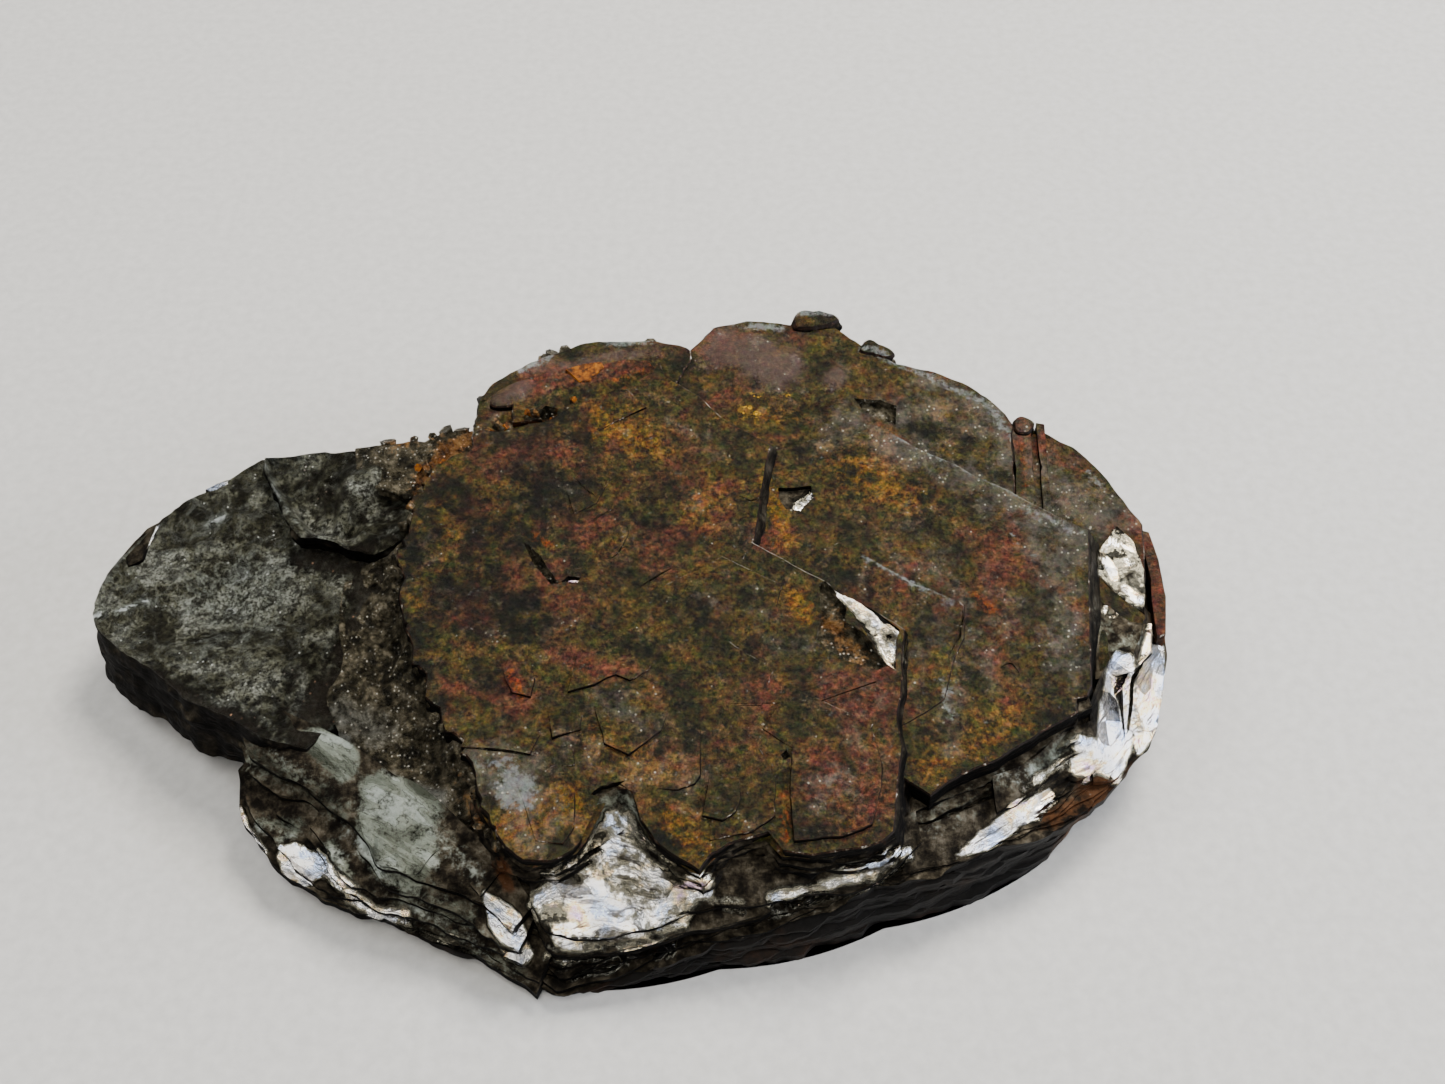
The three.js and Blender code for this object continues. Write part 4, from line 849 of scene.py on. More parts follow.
def fold_face(x, y):
    """Folds in a fan about one point: ridges and troughs over the bearing from it, that fade near
    it, and a raised lip that follows the ledge."""
    spots = np.column_stack([x, y])
    bearing = np.arctan2(y - 2.6, x + 19.4) + 0.12 * noise(spots, 2.0, 80)
    away = np.hypot(x + 19.4, y - 2.6)
    folds = 0.75 * np.sin(5.2 * bearing + 0.6) + 0.34 * np.sin(11.0 * bearing) + 0.12 * np.sin(23 * bearing)
    return folds * np.clip(away / 4.0, 0.15, 1) - 0.5 + 0.3 * noise(spots, 1.3, 81) + 0.13 * noise(spots,
                                                                                                   0.6, 82)


crystal(along(FOLDED, 0.32), 2.2, ["bare_hematite", "laminae", "bare_hematite", "bare_hematite"],
        ripple=fold_face,
        rings=0.32, bite=0.22, ledge=0.3, chamfer=0.12, seed=83, core=(-18.6, 7.2, 9.9))

# ---------------------------------------------------------------------------------------------
# Granular slope between wing and crown: a crust of small hematite crystals, nearly black, with
# painted glints on single faces. Rusty crumbs follow the crown's left and back left edge.
# ---------------------------------------------------------------------------------------------

SLOPE = [(-18.4, 3.0, 7.9), (-18.6, -1.0, 7.5), (-18.0, -4.6, 7.2), (-18.6, -7.6, 6.9), (-17.0, -10.6, 6.6),
         (-13.4, -13.2, 6.3), (-9.8, -16.2, 6.4), (-8.0, -15.6, 7.4), (-9.0, -12.2, 8.6), (-11.2, -7.8, 9.2),
         (-13.4, -2.2, 9.8), (-14.0, 1.4, 10.1), (-14.2, 4.0, 9.8)]


def slope_face(x, y):
    """Lumps of three sizes."""
    spots = np.column_stack([x, y])
    return 0.42 * noise(spots, 1.9, 90) + 0.42 * noise(spots, 0.8, 91) + 0.2 * noise(spots, 0.4, 92)


crystal(along(SLOPE, 0.46), 3.0, ["grain_crust"] * 4, bulge=-0.5, ripple=slope_face, rings=0.3, bite=0.3,
        ledge=0.4,
        chamfer=0.05, seed=93)


def platelet(place, size, flat, turn, skin):
    """A small hexagonal crystal: two rows of six, wider above, turned three ways about its place."""
    corner = np.arange(6) * np.pi / 3
    ring = np.column_stack([np.cos(corner), np.sin(corner), np.zeros(6)])
    rows = np.array([ring * (0.8, 0.8, 1) - (0, 0, flat), ring + (0, 0, flat)])
    (ca, cb, cc), (sa, sb, sc) = np.cos(turn), np.sin(turn)
    about_x = np.array([[1, 0, 0], [0, ca, -sa], [0, sa, ca]])
    about_y = np.array([[cb, 0, sb], [0, 1, 0], [-sb, 0, cb]])
    about_z = np.array([[cc, -sc, 0], [sc, cc, 0], [0, 0, 1]])
    grow(place + size * rows @ (about_z @ about_y @ about_x).T, [skin] * 3)


SLOPE_CRYSTALS = 34
EDGE_CRUMBS = 110
RIM_CRUMBS = 24
POCKET_FLAKES = 12
scatter = np.random.default_rng(12)
for _ in range(SLOPE_CRYSTALS):
    share = scatter.uniform()
    side = scatter.normal(0, 1.3)
    spot = np.array([-16.2 + 7.0 * share - 0.9 * side, 1.6 - 17.0 * share - 0.35 * side,
                     8.1 - 1.5 * share + 0.18 * abs(side)])
    platelet(spot, scatter.uniform(0.25, 0.55), scatter.uniform(0.2, 0.5),
             scatter.uniform(-0.9, 0.9, 3) * (1, 1, 3),
             "grain_crust")
# small crumbs along the crown's left edge, a few of them limonite at its back
CRUMB_LINE = np.array([(-3.6, 13.6), (-7.6, 11.8), (-10.8, 10.8), (-13.2, 8.0), (-14.4, 5.0), (-14.9, 0.6),
                       (-14.2, -2.6), (-12.4, -8.0), (-9.8, -12.6), (-8.4, -15.6), (-6.4, -18.8)])
for share in scatter.uniform(0, len(CRUMB_LINE) - 1, EDGE_CRUMBS):
    spot = CRUMB_LINE[int(share)] + (CRUMB_LINE[int(share) + 1] - CRUMB_LINE[int(share)]) * (share % 1)
    spot = spot + scatter.normal(0, 0.36, 2)
    level = CROWN - (0.02 if share < 4.2 else 0.42) + LEAN * spot[1] - scatter.uniform(0, 0.6)
    platelet(np.array([*spot, level]), scatter.uniform(0.18, 0.4), scatter.uniform(0.4, 0.8),
             scatter.uniform(-1.2, 1.2, 3) * (1, 1, 3),
             "limonite" if share < 3.4 and share % 0.4 < 0.09 else "grain_crust")

# larger crumbs along the outer edge of the low ledge and of the back left plates
RIM_LINE = np.array([(-18.4, 10.6), (-15.6, 11.3), (-12.8, 12.0), (-10.6, 13.0), (-9.8, 15.3), (-8.0, 16.9),
                     (-5.6, 18.4),
                     (-2.3, 19.4), (1.0, 19.5)])
for share in scatter.uniform(0, len(RIM_LINE) - 1, RIM_CRUMBS):
    spot = RIM_LINE[int(share)] + (RIM_LINE[int(share) + 1] - RIM_LINE[int(share)]) * (share % 1)
    spot = spot + scatter.normal(0, 0.25, 2)
    level = (BACK_LEFT - 1.1 if share < 3 else BACK_LEFT - 0.7) + LEAN * spot[1]
    platelet(np.array([*spot, level]), scatter.uniform(0.3, 0.6), scatter.uniform(0.2, 0.5),
             scatter.uniform(-0.6, 0.6, 3) * (1, 1, 3), "grain_crust")

# bare flakes of hematite that stand in the crown's triangular pocket
for share in scatter.uniform(0, 1, POCKET_FLAKES):
    spot = np.array([12.5 + 3.0 * share, -3.0 - 4.0 * share]) + scatter.normal(0, 0.2, 2)
    platelet(np.array([*spot, CROWN - 0.5 + LEAN * spot[1]]), scatter.uniform(0.15, 0.3),
             scatter.uniform(0.2, 0.5),
             scatter.uniform(-0.8, 0.8, 3) * (1, 1, 3), "laminae")

# Grain crust: tiny hematite crystals with oxide between them, and limonite where the rust mark is
# strong. Each crystal face lies at a slant of its own, and a few of them carry painted glints,
# pale or copper coloured.
finish, place = new_finish("grain_crust")
rust = add(finish, "Attribute", attribute_name="rust", give="Fac")
satin = add(finish, "Attribute", attribute_name="satin", give="Fac")
cell = add(finish, "TexVoronoi", {"Vector": place, "Scale": per(0.22)}, give="Color")
polish = add(finish, "SeparateColor", {0: cell}, give="Green")
dust = add(finish, "TexNoise", {"Vector": place, "Scale": per(1.0), "Detail": 8.0, "Roughness": 0.75})
crumb = add(finish, "TexNoise", {"Vector": place, "Scale": per(0.5), "Detail": 5.0, "Roughness": 0.7})
tone = add(finish, "ValToRGB", {0: dust}, [(0.4, "#12110b"), (0.48, "#363225"), (0.56, "#5e5847"),
                                           (0.66, "#8d8571")])
share = add(finish, "Math", {0: satin, 1: 0.3, 2: dust}, operation="MULTIPLY_ADD")
share = add(finish, "MapRange", {0: share, 1: 0.6, 2: 0.84, 4: 0.8}, interpolation_type="SMOOTHSTEP")
tone = add(finish, "Mix", {0: share, 6: tone, 7: "#6a6c67"}, data_type="RGBA", give=2)
share = add(finish, "Math", {0: rust, 1: 0.3, 2: crumb}, operation="MULTIPLY_ADD")
share = add(finish, "MapRange", {0: share, 1: 0.62, 2: 0.8, 4: 0.9}, interpolation_type="SMOOTHSTEP")
ochre = add(finish, "ValToRGB", {0: dust}, [(0.4, "#38200b"), (0.5, "#6d4212"), (0.62, "#8f6a35")])
tone = add(finish, "Mix", {0: share, 6: tone, 7: ochre}, data_type="RGBA", give=2)
# pale and copper dots: painted glints
fleck = add(finish, "TexVoronoi", {"Vector": place, "Scale": per(0.24)}, give="Distance")
spark = add(finish, "ValToRGB", {0: fleck}, [(0.16, 1.0), (0.34, 0.0)])
rare = add(finish, "SeparateColor", {0: fleck.node.outputs["Color"]}, give="Green")
rare = add(finish, "MapRange", {0: rare, 1: 0.64, 2: 0.84})
glint = add(finish, "Math", {0: spark, 1: rare}, operation="MULTIPLY")
flash = add(finish, "Mix", {0: share, 6: "#cbc8bc", 7: "#d8a880"}, data_type="RGBA", give=2)
tone = add(finish, "Mix", {0: glint, 6: tone, 7: flash}, data_type="RGBA", give=2)
metal = add(finish, "MapRange", {0: share, 3: 0.7, 4: 0.05})
metal = add(finish, "Math", {0: metal, 1: glint}, operation="MAXIMUM")
gloss = add(finish, "MapRange", {0: polish, 1: 0.2, 2: 0.9, 3: 0.55, 4: 0.28})
slant = add(finish, "VectorMath", {0: cell, 1: (1000.0,) * 3, 2: (-500.0,) * 3}, operation="MULTIPLY_ADD")
slant = add(finish, "VectorMath", {0: slant, 1: place}, operation="DOT_PRODUCT", give="Value")
bump = add(finish, "Bump", {"Height": dust, "Strength": 0.8, "Distance": 0.7 * MM})
bump = add(finish, "Bump", {"Height": crumb, "Strength": 0.7, "Distance": 0.45 * MM, "Normal": bump})
bump = add(finish, "Bump", {"Height": slant, "Strength": 0.9, "Distance": 0.9 * MM, "Normal": bump})
skin = add(finish, "BsdfPrincipled", {"Base Color": tone, "Metallic": metal, "Roughness": gloss,
                                      "Normal": bump,
                                      "Specular IOR Level": 0.3})
add(finish, "OutputMaterial", {"Surface": skin})

# ---------------------------------------------------------------------------------------------
# Leaves of the left front rim: laminae that curl over each other, the lowest one reaching
# furthest out. Each is broken along its outer line and joins the stone along its inner one.
# ---------------------------------------------------------------------------------------------

LOW_INNER = [(-22.4, -9.0, 4.6), (-17.0, -13.0, 4.4), (-12.0, -16.4, 4.2), (-7.0, -19.4, 3.8),
             (-3.2, -21.4, 3.2)]
LEFT_LEAVES = [  # outer line, inner line, thickness at the edge, hollow
    ([(-24.0, -10.6, 3.8), (-23.6, -13.2, 3.2), (-22.9, -14.6, 3.0), (-21.6, -16.1, 2.8), (-19.4, -17.9, 2.5),
      (-16.4, -19.2, 2.2), (-13.4, -20.1, 2.0), (-10.3, -21.3, 1.8), (-7.2, -22.7, 1.6), (-4.6, -24.4, 1.5)],
     LOW_INNER, 0.8, 1.2),
    ([(-23.6, -11.2, 4.2), (-22.4, -14.0, 3.7), (-20.8, -15.9, 3.3), (-18.6, -18.0, 2.8), (-16.0, -19.0, 2.8),
      (-13.2, -19.9, 2.6), (-10.4, -21.0, 2.4), (-7.4, -22.4, 2.2), (-4.4, -24.0, 2.1)],
     [(x, y, z + 0.5) for x, y, z in LOW_INNER], 0.35, 1.6),
    ([(-21.0, -13.8, 4.0), (-19.2, -15.3, 3.9), (-17.8, -17.0, 3.6), (-17.0, -18.3, 3.4), (-16.0, -19.0, 3.2),
      (-14.4, -19.9, 3.0), (-12.9, -20.1, 2.9), (-11.1, -20.7, 2.9), (-9.3, -21.5, 2.8), (-6.6, -22.6, 2.7)],
     [(-19.6, -12.8, 4.4), (-15.4, -15.6, 4.4), (-12.0, -18.0, 4.3), (-8.6, -20.0, 4.0),
      (-6.0, -21.4, 3.6)], 0.35, 1.3),
    ([(-18.8, -15.0, 4.4), (-17.3, -17.3, 4.3), (-16.2, -18.6, 4.1), (-14.6, -19.1, 3.9), (-12.6, -19.8, 3.8),
      (-10.5, -20.5, 3.6), (-8.6, -21.3, 3.4), (-6.2, -22.4, 3.3)],
     [(-18.0, -13.6, 4.7), (-14.2, -16.0, 4.7), (-11.0, -18.2, 4.6), (-8.0, -19.8, 4.3),
      (-5.6, -21.2, 4.0)], 0.3, 1.3),
    ([(-23.9, -9.6, 4.9), (-22.6, -11.8, 4.7), (-20.9, -12.9, 4.7), (-19.6, -13.4, 4.7), (-18.2, -14.4, 4.7),
      (-16.6, -15.7, 4.7), (-15.3, -17.1, 4.7), (-13.8, -18.8, 4.6), (-12.6, -19.5, 4.5), (-10.6, -20.3, 4.2),
      (-8.6, -21.2, 4.0), (-7.0, -22.3, 3.9), (-5.6, -23.0, 3.7)],
     [(-21.6, -8.6, 5.8), (-17.6, -11.0, 5.8), (-14.2, -14.0, 5.6), (-11.4, -16.4, 5.4), (-7.6, -19.0, 5.0),
      (-4.8, -21.2, 4.4)], 0.4, 1.2),
    ([(-23.9, -8.9, 5.9), (-22.7, -11.0, 5.7), (-21.1, -12.2, 5.6), (-19.5, -12.8, 5.6), (-18.0, -13.9, 5.6),
      (-16.4, -15.2, 5.6), (-15.0, -16.8, 5.5), (-14.2, -18.2, 5.4), (-12.8, -18.9, 5.3), (-11.2, -19.3, 5.1),
      (-9.4, -19.9, 5.0), (-7.6, -20.8, 4.9), (-6.0, -22.2, 4.5)],
     [(-21.0, -8.2, 6.7), (-16.6, -10.6, 6.7), (-12.8, -13.4, 6.5), (-9.4, -16.0, 6.5), (-6.6, -18.4, 6.0),
      (-4.8, -20.8, 5.2)], 0.45, 0.8),
    ([(-15.5, -13.4, 6.1), (-15.6, -15.4, 5.9), (-14.6, -17.2, 5.8), (-13.2, -18.5, 5.7), (-11.8, -19.0, 5.6),
      (-10.9, -18.0, 5.8), (-9.4, -18.6, 5.7), (-7.8, -20.2, 5.4)],
     [(-14.4, -12.6, 6.5), (-12.6, -13.2, 6.6), (-10.8, -14.6, 6.7), (-9.4, -16.0, 6.7), (-7.8, -17.4, 6.4),
      (-6.6, -18.8, 6.0)], 0.25, 0.9),
]


def leaf(outer, inner, thickness, hollow=1.0, ragged=0.3, fold=0.14, across=0.34, skin="laminae", seed=0):
    """A lamina, as a profile carried along its outer line. The profile goes over the top from the
    inner line to the outer, with the height share s^hollow, down the broken edge in small ledges,
    and back below. Folds and ragged edges are noise."""
    length = np.linalg.norm(np.diff(np.array(outer), axis=0), axis=1).sum()
    count = int(length / 0.3)
    a, b = smooth(outer, count), smooth(inner, count)
    out = (a - b)[:, :2] / np.linalg.norm((a - b)[:, :2], axis=1, keepdims=True)
    torn = 0.6 * noise(a, 2.0, seed) + 0.5 * noise(a, 0.8, seed + 1) + np.clip(noise(a, 1.2,
                                                                                     seed + 2) - 0.4, 0, 1)
    a[:, :2] += out * ragged * (torn - 0.4)[:, None]
    width = np.linalg.norm(a - b, axis=1).max()
    s = np.linspace(1, 0, max(4, int(width / across)))[None, :, None]
    top = a[:, None] + (b - a)[:, None] * s
    top[..., 2] = a[:, None, 2] + (b - a)[:, None, 2] * s[..., 0] ** hollow
    waves = noise(top * (1, 1, 0.3), 2.4, seed + 3) + 0.5 * noise(top, 0.9, seed + 4)
    top[..., 2] += fold * waves * (1.2 - s[..., 0])
    edge = []
    for i, share in enumerate((0.12, 0.5, 0.56, 1.0)):
        step = a.copy()
        step[:, :2] += out * (0.12 * (i == 0) + 0.1 * noise(a, 0.9, seed + 5 + i // 2) + 0.05 * i)[:, None]
        step[:, 2] = top[:, -1, 2] - thickness * share
        edge.append(step[:, None])
    under = top[:, ::-1] - np.array([0, 0, 1.0]) * (thickness + 0.5 * s[:, ::-1])
    grow(np.concatenate([top, *edge, under[:, 1:]], axis=1), [skin] * (count + 1))


for k, (outer, inner, thickness, hollow) in enumerate(LEFT_LEAVES):
    leaf(outer, inner, thickness, hollow, ragged=0.32, fold=0.2, seed=100 + 12 * k)

# ---------------------------------------------------------------------------------------------
# Hollow in the crown's bay: laminae laid bare in a fan that runs down from the crown, mirror-like
# and striated, their near-white brightness partly painted reflection. The lowest runs on to the
# right as a thin rim under the crown's front edge.
# ---------------------------------------------------------------------------------------------

HOLLOW = [
    ([(-5.2, -20.4, 5.2), (-4.4, -22.0, 4.2), (-3.4, -23.0, 3.6), (-1.0, -22.9, 3.5), (2.0, -22.5, 3.8),
      (5.0, -21.8, 4.2), (9.0, -21.0, 4.5)],
     [(-4.0, -19.4, 6.0), (-2.6, -18.6, 6.0), (0, -18.0, 6.0), (3.0, -18.6, 6.0), (9.0, -18.4, 6.0)], 0.6,
     1.0),
    ([(-5.1, -19.8, 6.4), (-4.9, -20.9, 5.7), (-4.2, -21.9, 4.9), (-2.9, -22.5, 4.5), (-0.9, -22.4, 4.4),
      (1.8, -22.2, 4.6), (3.0, -21.7, 4.8), (4.6, -21.3, 5.0), (6.1, -20.8, 5.2)],
     [(-3.6, -18.6, 7.2), (-2.4, -17.6, 7.6), (-1.8, -15.8, 8.3), (-0.8, -14.7, 8.6), (0.3, -14.8, 8.6),
      (1.2, -15.8, 8.4), (2.2, -17.6, 8.1), (3.8, -18.8, 7.6), (5.8, -19.0, 7.0)], 0.35, 1.15),
    ([(2.4, -21.6, 5.2), (4.3, -21.2, 5.3), (6.1, -20.8, 5.4), (7.8, -20.9, 5.4), (10.0, -20.5, 5.4),
      (11.6, -20.1, 5.5),
      (13.1, -20.0, 5.5), (15.0, -19.4, 5.6), (16.0, -18.9, 5.8), (16.9, -18.2, 6.0), (18.0, -17.2, 6.2)],
     [(3.8, -19.6, 6.8), (6.1, -18.8, 6.8), (8.0, -18.6, 6.9), (10.1, -18.6, 6.9), (13.6, -18.0, 7.0),
      (15.4, -17.4, 7.2), (17.6, -15.6, 7.2)], 0.3, 1.0),
]
for k, (outer, inner, thickness, hollow) in enumerate(HOLLOW):
    leaf(outer, inner, thickness, hollow, ragged=0.3, fold=0.24, across=0.26, seed=200 + 12 * k)

# ---------------------------------------------------------------------------------------------
# Laminae of the right side: thin plates that step out and down from under the right plate, and
# the broad sheets that bend down over the right end, their brightness partly painted reflection.
# ---------------------------------------------------------------------------------------------

SIDE_EDGE = np.array([(15.6, -16.4), (18.6, -15.2), (21.6, -13.6), (24.8, -11.9), (27.9, -9.9), (29.0, -8.0)])
for k in range(7):
    j = np.arange(len(SIDE_EDGE))
    swell = np.sin(np.pi * (j + 1) / (len(SIDE_EDGE) + 1))
    shift = np.column_stack([0.05 * j * k, -(0.1 + 0.4 * k) * swell + 0.3 * np.sin(1.9 * j + 2.3 * k)])
    plate([*(SIDE_EDGE + shift), (27.0, 0), (15.0, -8.0)], RIGHT - 1.2 - 0.36 * k, 0.34, skin="laminae",
          rim="laminae",
          seed=140 + k, core=(22.0, -9.0), spacing=0.32, rings=1.0, bite=0.25, ledge=0.12, chamfer=0.06,
          ripple=lambda x, y, k=k: 0.1 * noise(np.column_stack([x, y]), 1.4, 150 + k))
RIGHT_LEAVES = [
    ([(16.8, -18.6, 5.0), (20.1, -17.7, 4.7), (22.2, -16.8, 4.6), (24.2, -15.3, 4.6), (26.2, -13.6, 4.5),
      (28.6, -12.0, 4.3)],
     [(17.6, -16.4, 6.2), (21.2, -14.8, 6.2), (24.0, -13.4, 6.2), (26.6, -11.6, 6.2), (28.0, -9.8, 6.2)],
     0.35, 0.9),
    ([(22.6, -15.2, 6.0), (24.6, -13.9, 6.0), (26.8, -11.9, 6.0), (28.2, -10.6, 6.0), (28.8, -9.6, 6.2)],
     [(22.4, -13.2, 7.0), (24.6, -12.2, 7.0), (26.4, -10.6, 7.1), (27.4, -9.2, 7.2), (28.0, -8.4, 7.3)],
     0.3, 1.0),
    ([(27.4, -12.2, 5.3), (28.3, -12.2, 5.1), (29.2, -11.6, 5.2), (29.8, -10.6, 5.4)],
     [(27.6, -9.6, 7.0), (28.4, -9.4, 7.0), (29.0, -9.0, 7.0), (29.2, -8.2, 7.0)], 0.3, 1.0),
    ([(29.0, -12.0, 4.7), (30.2, -11.8, 4.4), (31.2, -10.9, 4.3), (32.0, -9.8, 4.4), (32.7, -8.4, 4.8)],
     [(28.8, -8.4, 7.8), (29.6, -6.6, 7.9), (30.4, -5.2, 7.9), (31.0, -4.4, 7.9), (31.9, -4.0, 7.8)], 0.35,
     1.25),
    ([(31.4, -10.4, 4.0), (32.6, -9.4, 4.1), (33.4, -8.0, 4.5), (34.1, -5.8, 5.1), (34.7, -3.4, 5.7),
      (34.9, -1.0, 6.2)],
     [(31.2, -6.6, 7.0), (31.8, -5.4, 7.4), (32.2, -4.2, 7.7), (32.7, -3.2, 7.8), (33.0, -2.0, 7.8),
      (33.2, -0.6, 7.7)],
     0.4, 1.1),
]
for k, (outer, inner, thickness, hollow) in enumerate(RIGHT_LEAVES):
    leaf(outer, inner, thickness, hollow, ragged=0.26, fold=0.2, across=0.26, seed=300 + 12 * k)

# ---------------------------------------------------------------------------------------------
# The stone: all crystals joined in one closed skin, with pits, chips and cracks broken out of the
# plates. A pit goes down from above the face to its level less its depth.
# ---------------------------------------------------------------------------------------------

grown = len(crystals)
PITS = [  # level, depth, finish, outline
    (CROWN, 0.75, "grain_crust", [(12.3, -0.9), (12.7, -0.7), (14.0, -2.5), (13.8, -3.6), (15.0, -4.5),
                                  (16.5, -6.8),
                                  (15.8, -7.3), (13.7, -6.5), (11.9, -5.1), (12.3, -3.6)]),
    (CROWN, 0.3, "laminae", [(12.9, -0.9), (14.0, -1.5), (15.6, -2.8), (17.2, -4.3), (17.0, -5.3),
                             (16.8, -7.2),
                             (16.2, -6.6), (15.0, -4.5), (14.0, -2.7)]),
    (CROWN, 0.5, "grain_crust", [(-6.6, 2.2), (-6.1, 1.8), (-5.4, 1.1), (-4.3, -0.7), (-4.0, -1.0),
                                 (-4.6, -1.1),
                                 (-5.7, 0.3)]),
    (CROWN, 0.35, "laminae", [(-4.1, -0.9), (-3.6, -0.4), (-2.7, -0.5), (-2.9, -0.9)]),
    (CROWN, 0.45, "laminae", [(-1.6, -15.4), (-1.0, -14.8), (0.5, -14.5), (-0.1, -15.0), (-1.0, -15.6)]),
    (CROWN, 0.3, "grain_crust", [(9.6, -12.8), (10.0, -12.5), (10.3, -13.0), (9.8, -13.3)]),
    (RIGHT, 0.35, "laminae", [(9.8, 7.0), (10.3, 7.0), (12.1, 7.2), (12.3, 6.2), (11.3, 5.1), (10.3, 5.2),
                              (9.8, 6.2)]),
    (CROWN, 1.3, "grain_crust", [(-6.6, 12.8), (-5.8, 13.6), (-4.9, 13.3), (-4.9, 12.6), (-5.8, 12.2)]),
    (BACK, 0.5, "grain_crust", [(15.1, 14.7), (15.7, 13.6), (17.2, 12.8), (18.0, 12.4), (18.1, 14.1),
                                (17.0, 14.6)]),
]
for k, (level, depth, skin, outline) in enumerate(PITS):
    plate(outline, level + 1.5, depth + 1.5, skin=skin, side=skin, rim=skin, spacing=0.25, rings=0.4,
          bite=0.1,
          seed=170 + k, chamfer=0.02)

CRACKS = [  # level, width, path
    (CROWN, 0.1, [(0.0, 3.4), (0.1, 2.7), (-0.5, 1.2), (-1.6, 0.8)]),
    (CROWN, 0.12, [(3.2, 0.3), (2.0, -0.4), (0.8, -1.4)]),
    (CROWN, 0.12, [(-3.5, 7.0), (-2.6, 6.2), (-2.0, 5.6)]),
    (CROWN, 0.1, [(-2.2, 3.8), (-1.6, 4.3), (-1.0, 4.6)]),
    (CROWN, 0.12, [(7.1, 5.7), (8.0, 5.4), (8.8, 5.7)]),
    (CROWN, 0.1, [(-8.8, -12.3), (-7.6, -12.6), (-6.7, -12.6), (-5.6, -12.9), (-4.9, -12.9)]),
    (RIGHT, 0.12, [(23.4, -6.4), (24.0, -6.2), (24.5, -6.9)]),
    (6.4, 0.4, [(33.3, -0.9), (32.4, -2.6), (31.5, -4.3), (31.2, -5.6)]),
    (6.4, 0.3, [(32.9, -4.4), (31.9, -6.2), (31.6, -8.3), (31.4, -9.6)]),
    (RIGHT, 0.16, [(21.3, -2.4), (21.2, -3.6), (20.7, -4.8), (20.2, -5.8)]),
]
for k, (level, width, path) in enumerate(CRACKS):
    line = smooth(path, 14)
    side = np.gradient(line, axis=0)[:, ::-1] * (-1, 1)
    side *= width * np.sin(np.pi * np.linspace(0.06, 0.94, 14))[:, None] / np.linalg.norm(side, axis=1,
                                                                                          keepdims=True)
    wander = 0.12 * noise(line, 0.8, 190 + k)[:, None] * side / width
    plate([*(line + wander + side / 2), *(line + wander - side / 2)[::-1]], level + 1.5, 1.5 + 0.22,
          skin="grain_crust",
          side="grain_crust", rim="grain_crust", spacing=2.0, rings=2.0, bite=0.0, seed=180 + k, chamfer=0.02)

shift = np.array([cad_box[0][0] / MM + 35.2, cad_box[1][1] / MM - 22.4, 0])
slots = list(finishes)


def stone_mesh(name, rows, skins):
    """The closed mesh of one crystal: quads between its rows, and a fan to the middle of each end."""
    count = rows.shape[1]
    points = np.concatenate([rows.reshape(-1, 3), rows[[0, -1]].mean(axis=1)]) + shift
    j = np.arange(count)
    after = (j + 1) % count
    start = count * np.arange(len(rows) - 1)
    band = np.stack([j, after, after + count, j + count], axis=1)
    quads = (band[None] + start[:, None, None]).reshape(-1, 4)
    last = start[-1] + count
    low = np.stack([after, j, np.full(count, len(points) - 2)], axis=1)
    high = np.stack([last + j, last + after, np.full(count, len(points) - 1)], axis=1)
    mesh = bpy.data.meshes.new(name)
    mesh.from_pydata((points * MM).tolist(), [], [*low.tolist(), *quads.tolist(), *high.tolist()])
    kind = np.repeat([slots.index(skin) for skin in skins], count)
    for finish in finishes.values():
        mesh.materials.append(finish)
    mesh.polygons.foreach_set("material_index", kind.astype(np.int32))
    return mesh


def gather(name, chosen):
    """A collection that holds one object per chosen crystal."""
    group = bpy.data.collections.new(name)
    for number, (rows, skins) in enumerate(chosen):
        part = bpy.data.objects.new(f"{name}_{number}", stone_mesh(f"{name}_{number}", rows, skins))
        group.objects.link(part)
    bpy.context.scene.collection.children.link(group)
    return group


base = bpy.data.objects.new("base", stone_mesh("base", *crystals[0]))
bpy.context.collection.objects.link(base)
joined, broken = gather("crystal", crystals[1:grown]), gather("pit", crystals[grown:])
for operation, group in (("UNION", joined), ("DIFFERENCE", broken)):
    cut = base.modifiers.new(operation, "BOOLEAN")
    cut.operation = operation
    cut.operand_type = "COLLECTION"
    cut.collection = group
    cut.solver = "MANIFOLD"
mesh = bpy.data.meshes.new_from_object(base.evaluated_get(bpy.context.evaluated_depsgraph_get()))
for group in (joined, broken):
    for part in list(group.objects):
        bpy.data.meshes.remove(part.data)
    bpy.data.collections.remove(group)
bpy.data.meshes.remove(base.data)

# sealed hollows and loose crumbs are dropped: each point takes the lowest number joined to it
ends = np.empty(2 * len(mesh.edges), np.int32)
mesh.edges.foreach_get("vertices", ends)
ends = ends.reshape(-1, 2)
island = np.arange(len(mesh.vertices))
while True:
    lowest = np.minimum(island[ends[:, 0]], island[ends[:, 1]])
    joined_to = island.copy()
    np.minimum.at(joined_to, ends[:, 0], lowest)
    np.minimum.at(joined_to, ends[:, 1], lowest)
    joined_to = joined_to[joined_to]
    if (joined_to == island).all():
        break
    island = joined_to
shell = bmesh.new()
shell.from_mesh(mesh)
main = np.bincount(island).argmax()
shell.verts.ensure_lookup_table()
bmesh.ops.delete(shell, geom=[shell.verts[i] for i in np.flatnonzero(island != main)], context="VERTS")
shell.to_mesh(mesh)
shell.free()

mesh.name = "hematite_rose_stone"
stone = bpy.data.objects.new("hematite_rose_stone", mesh)
bpy.context.collection.objects.link(stone)

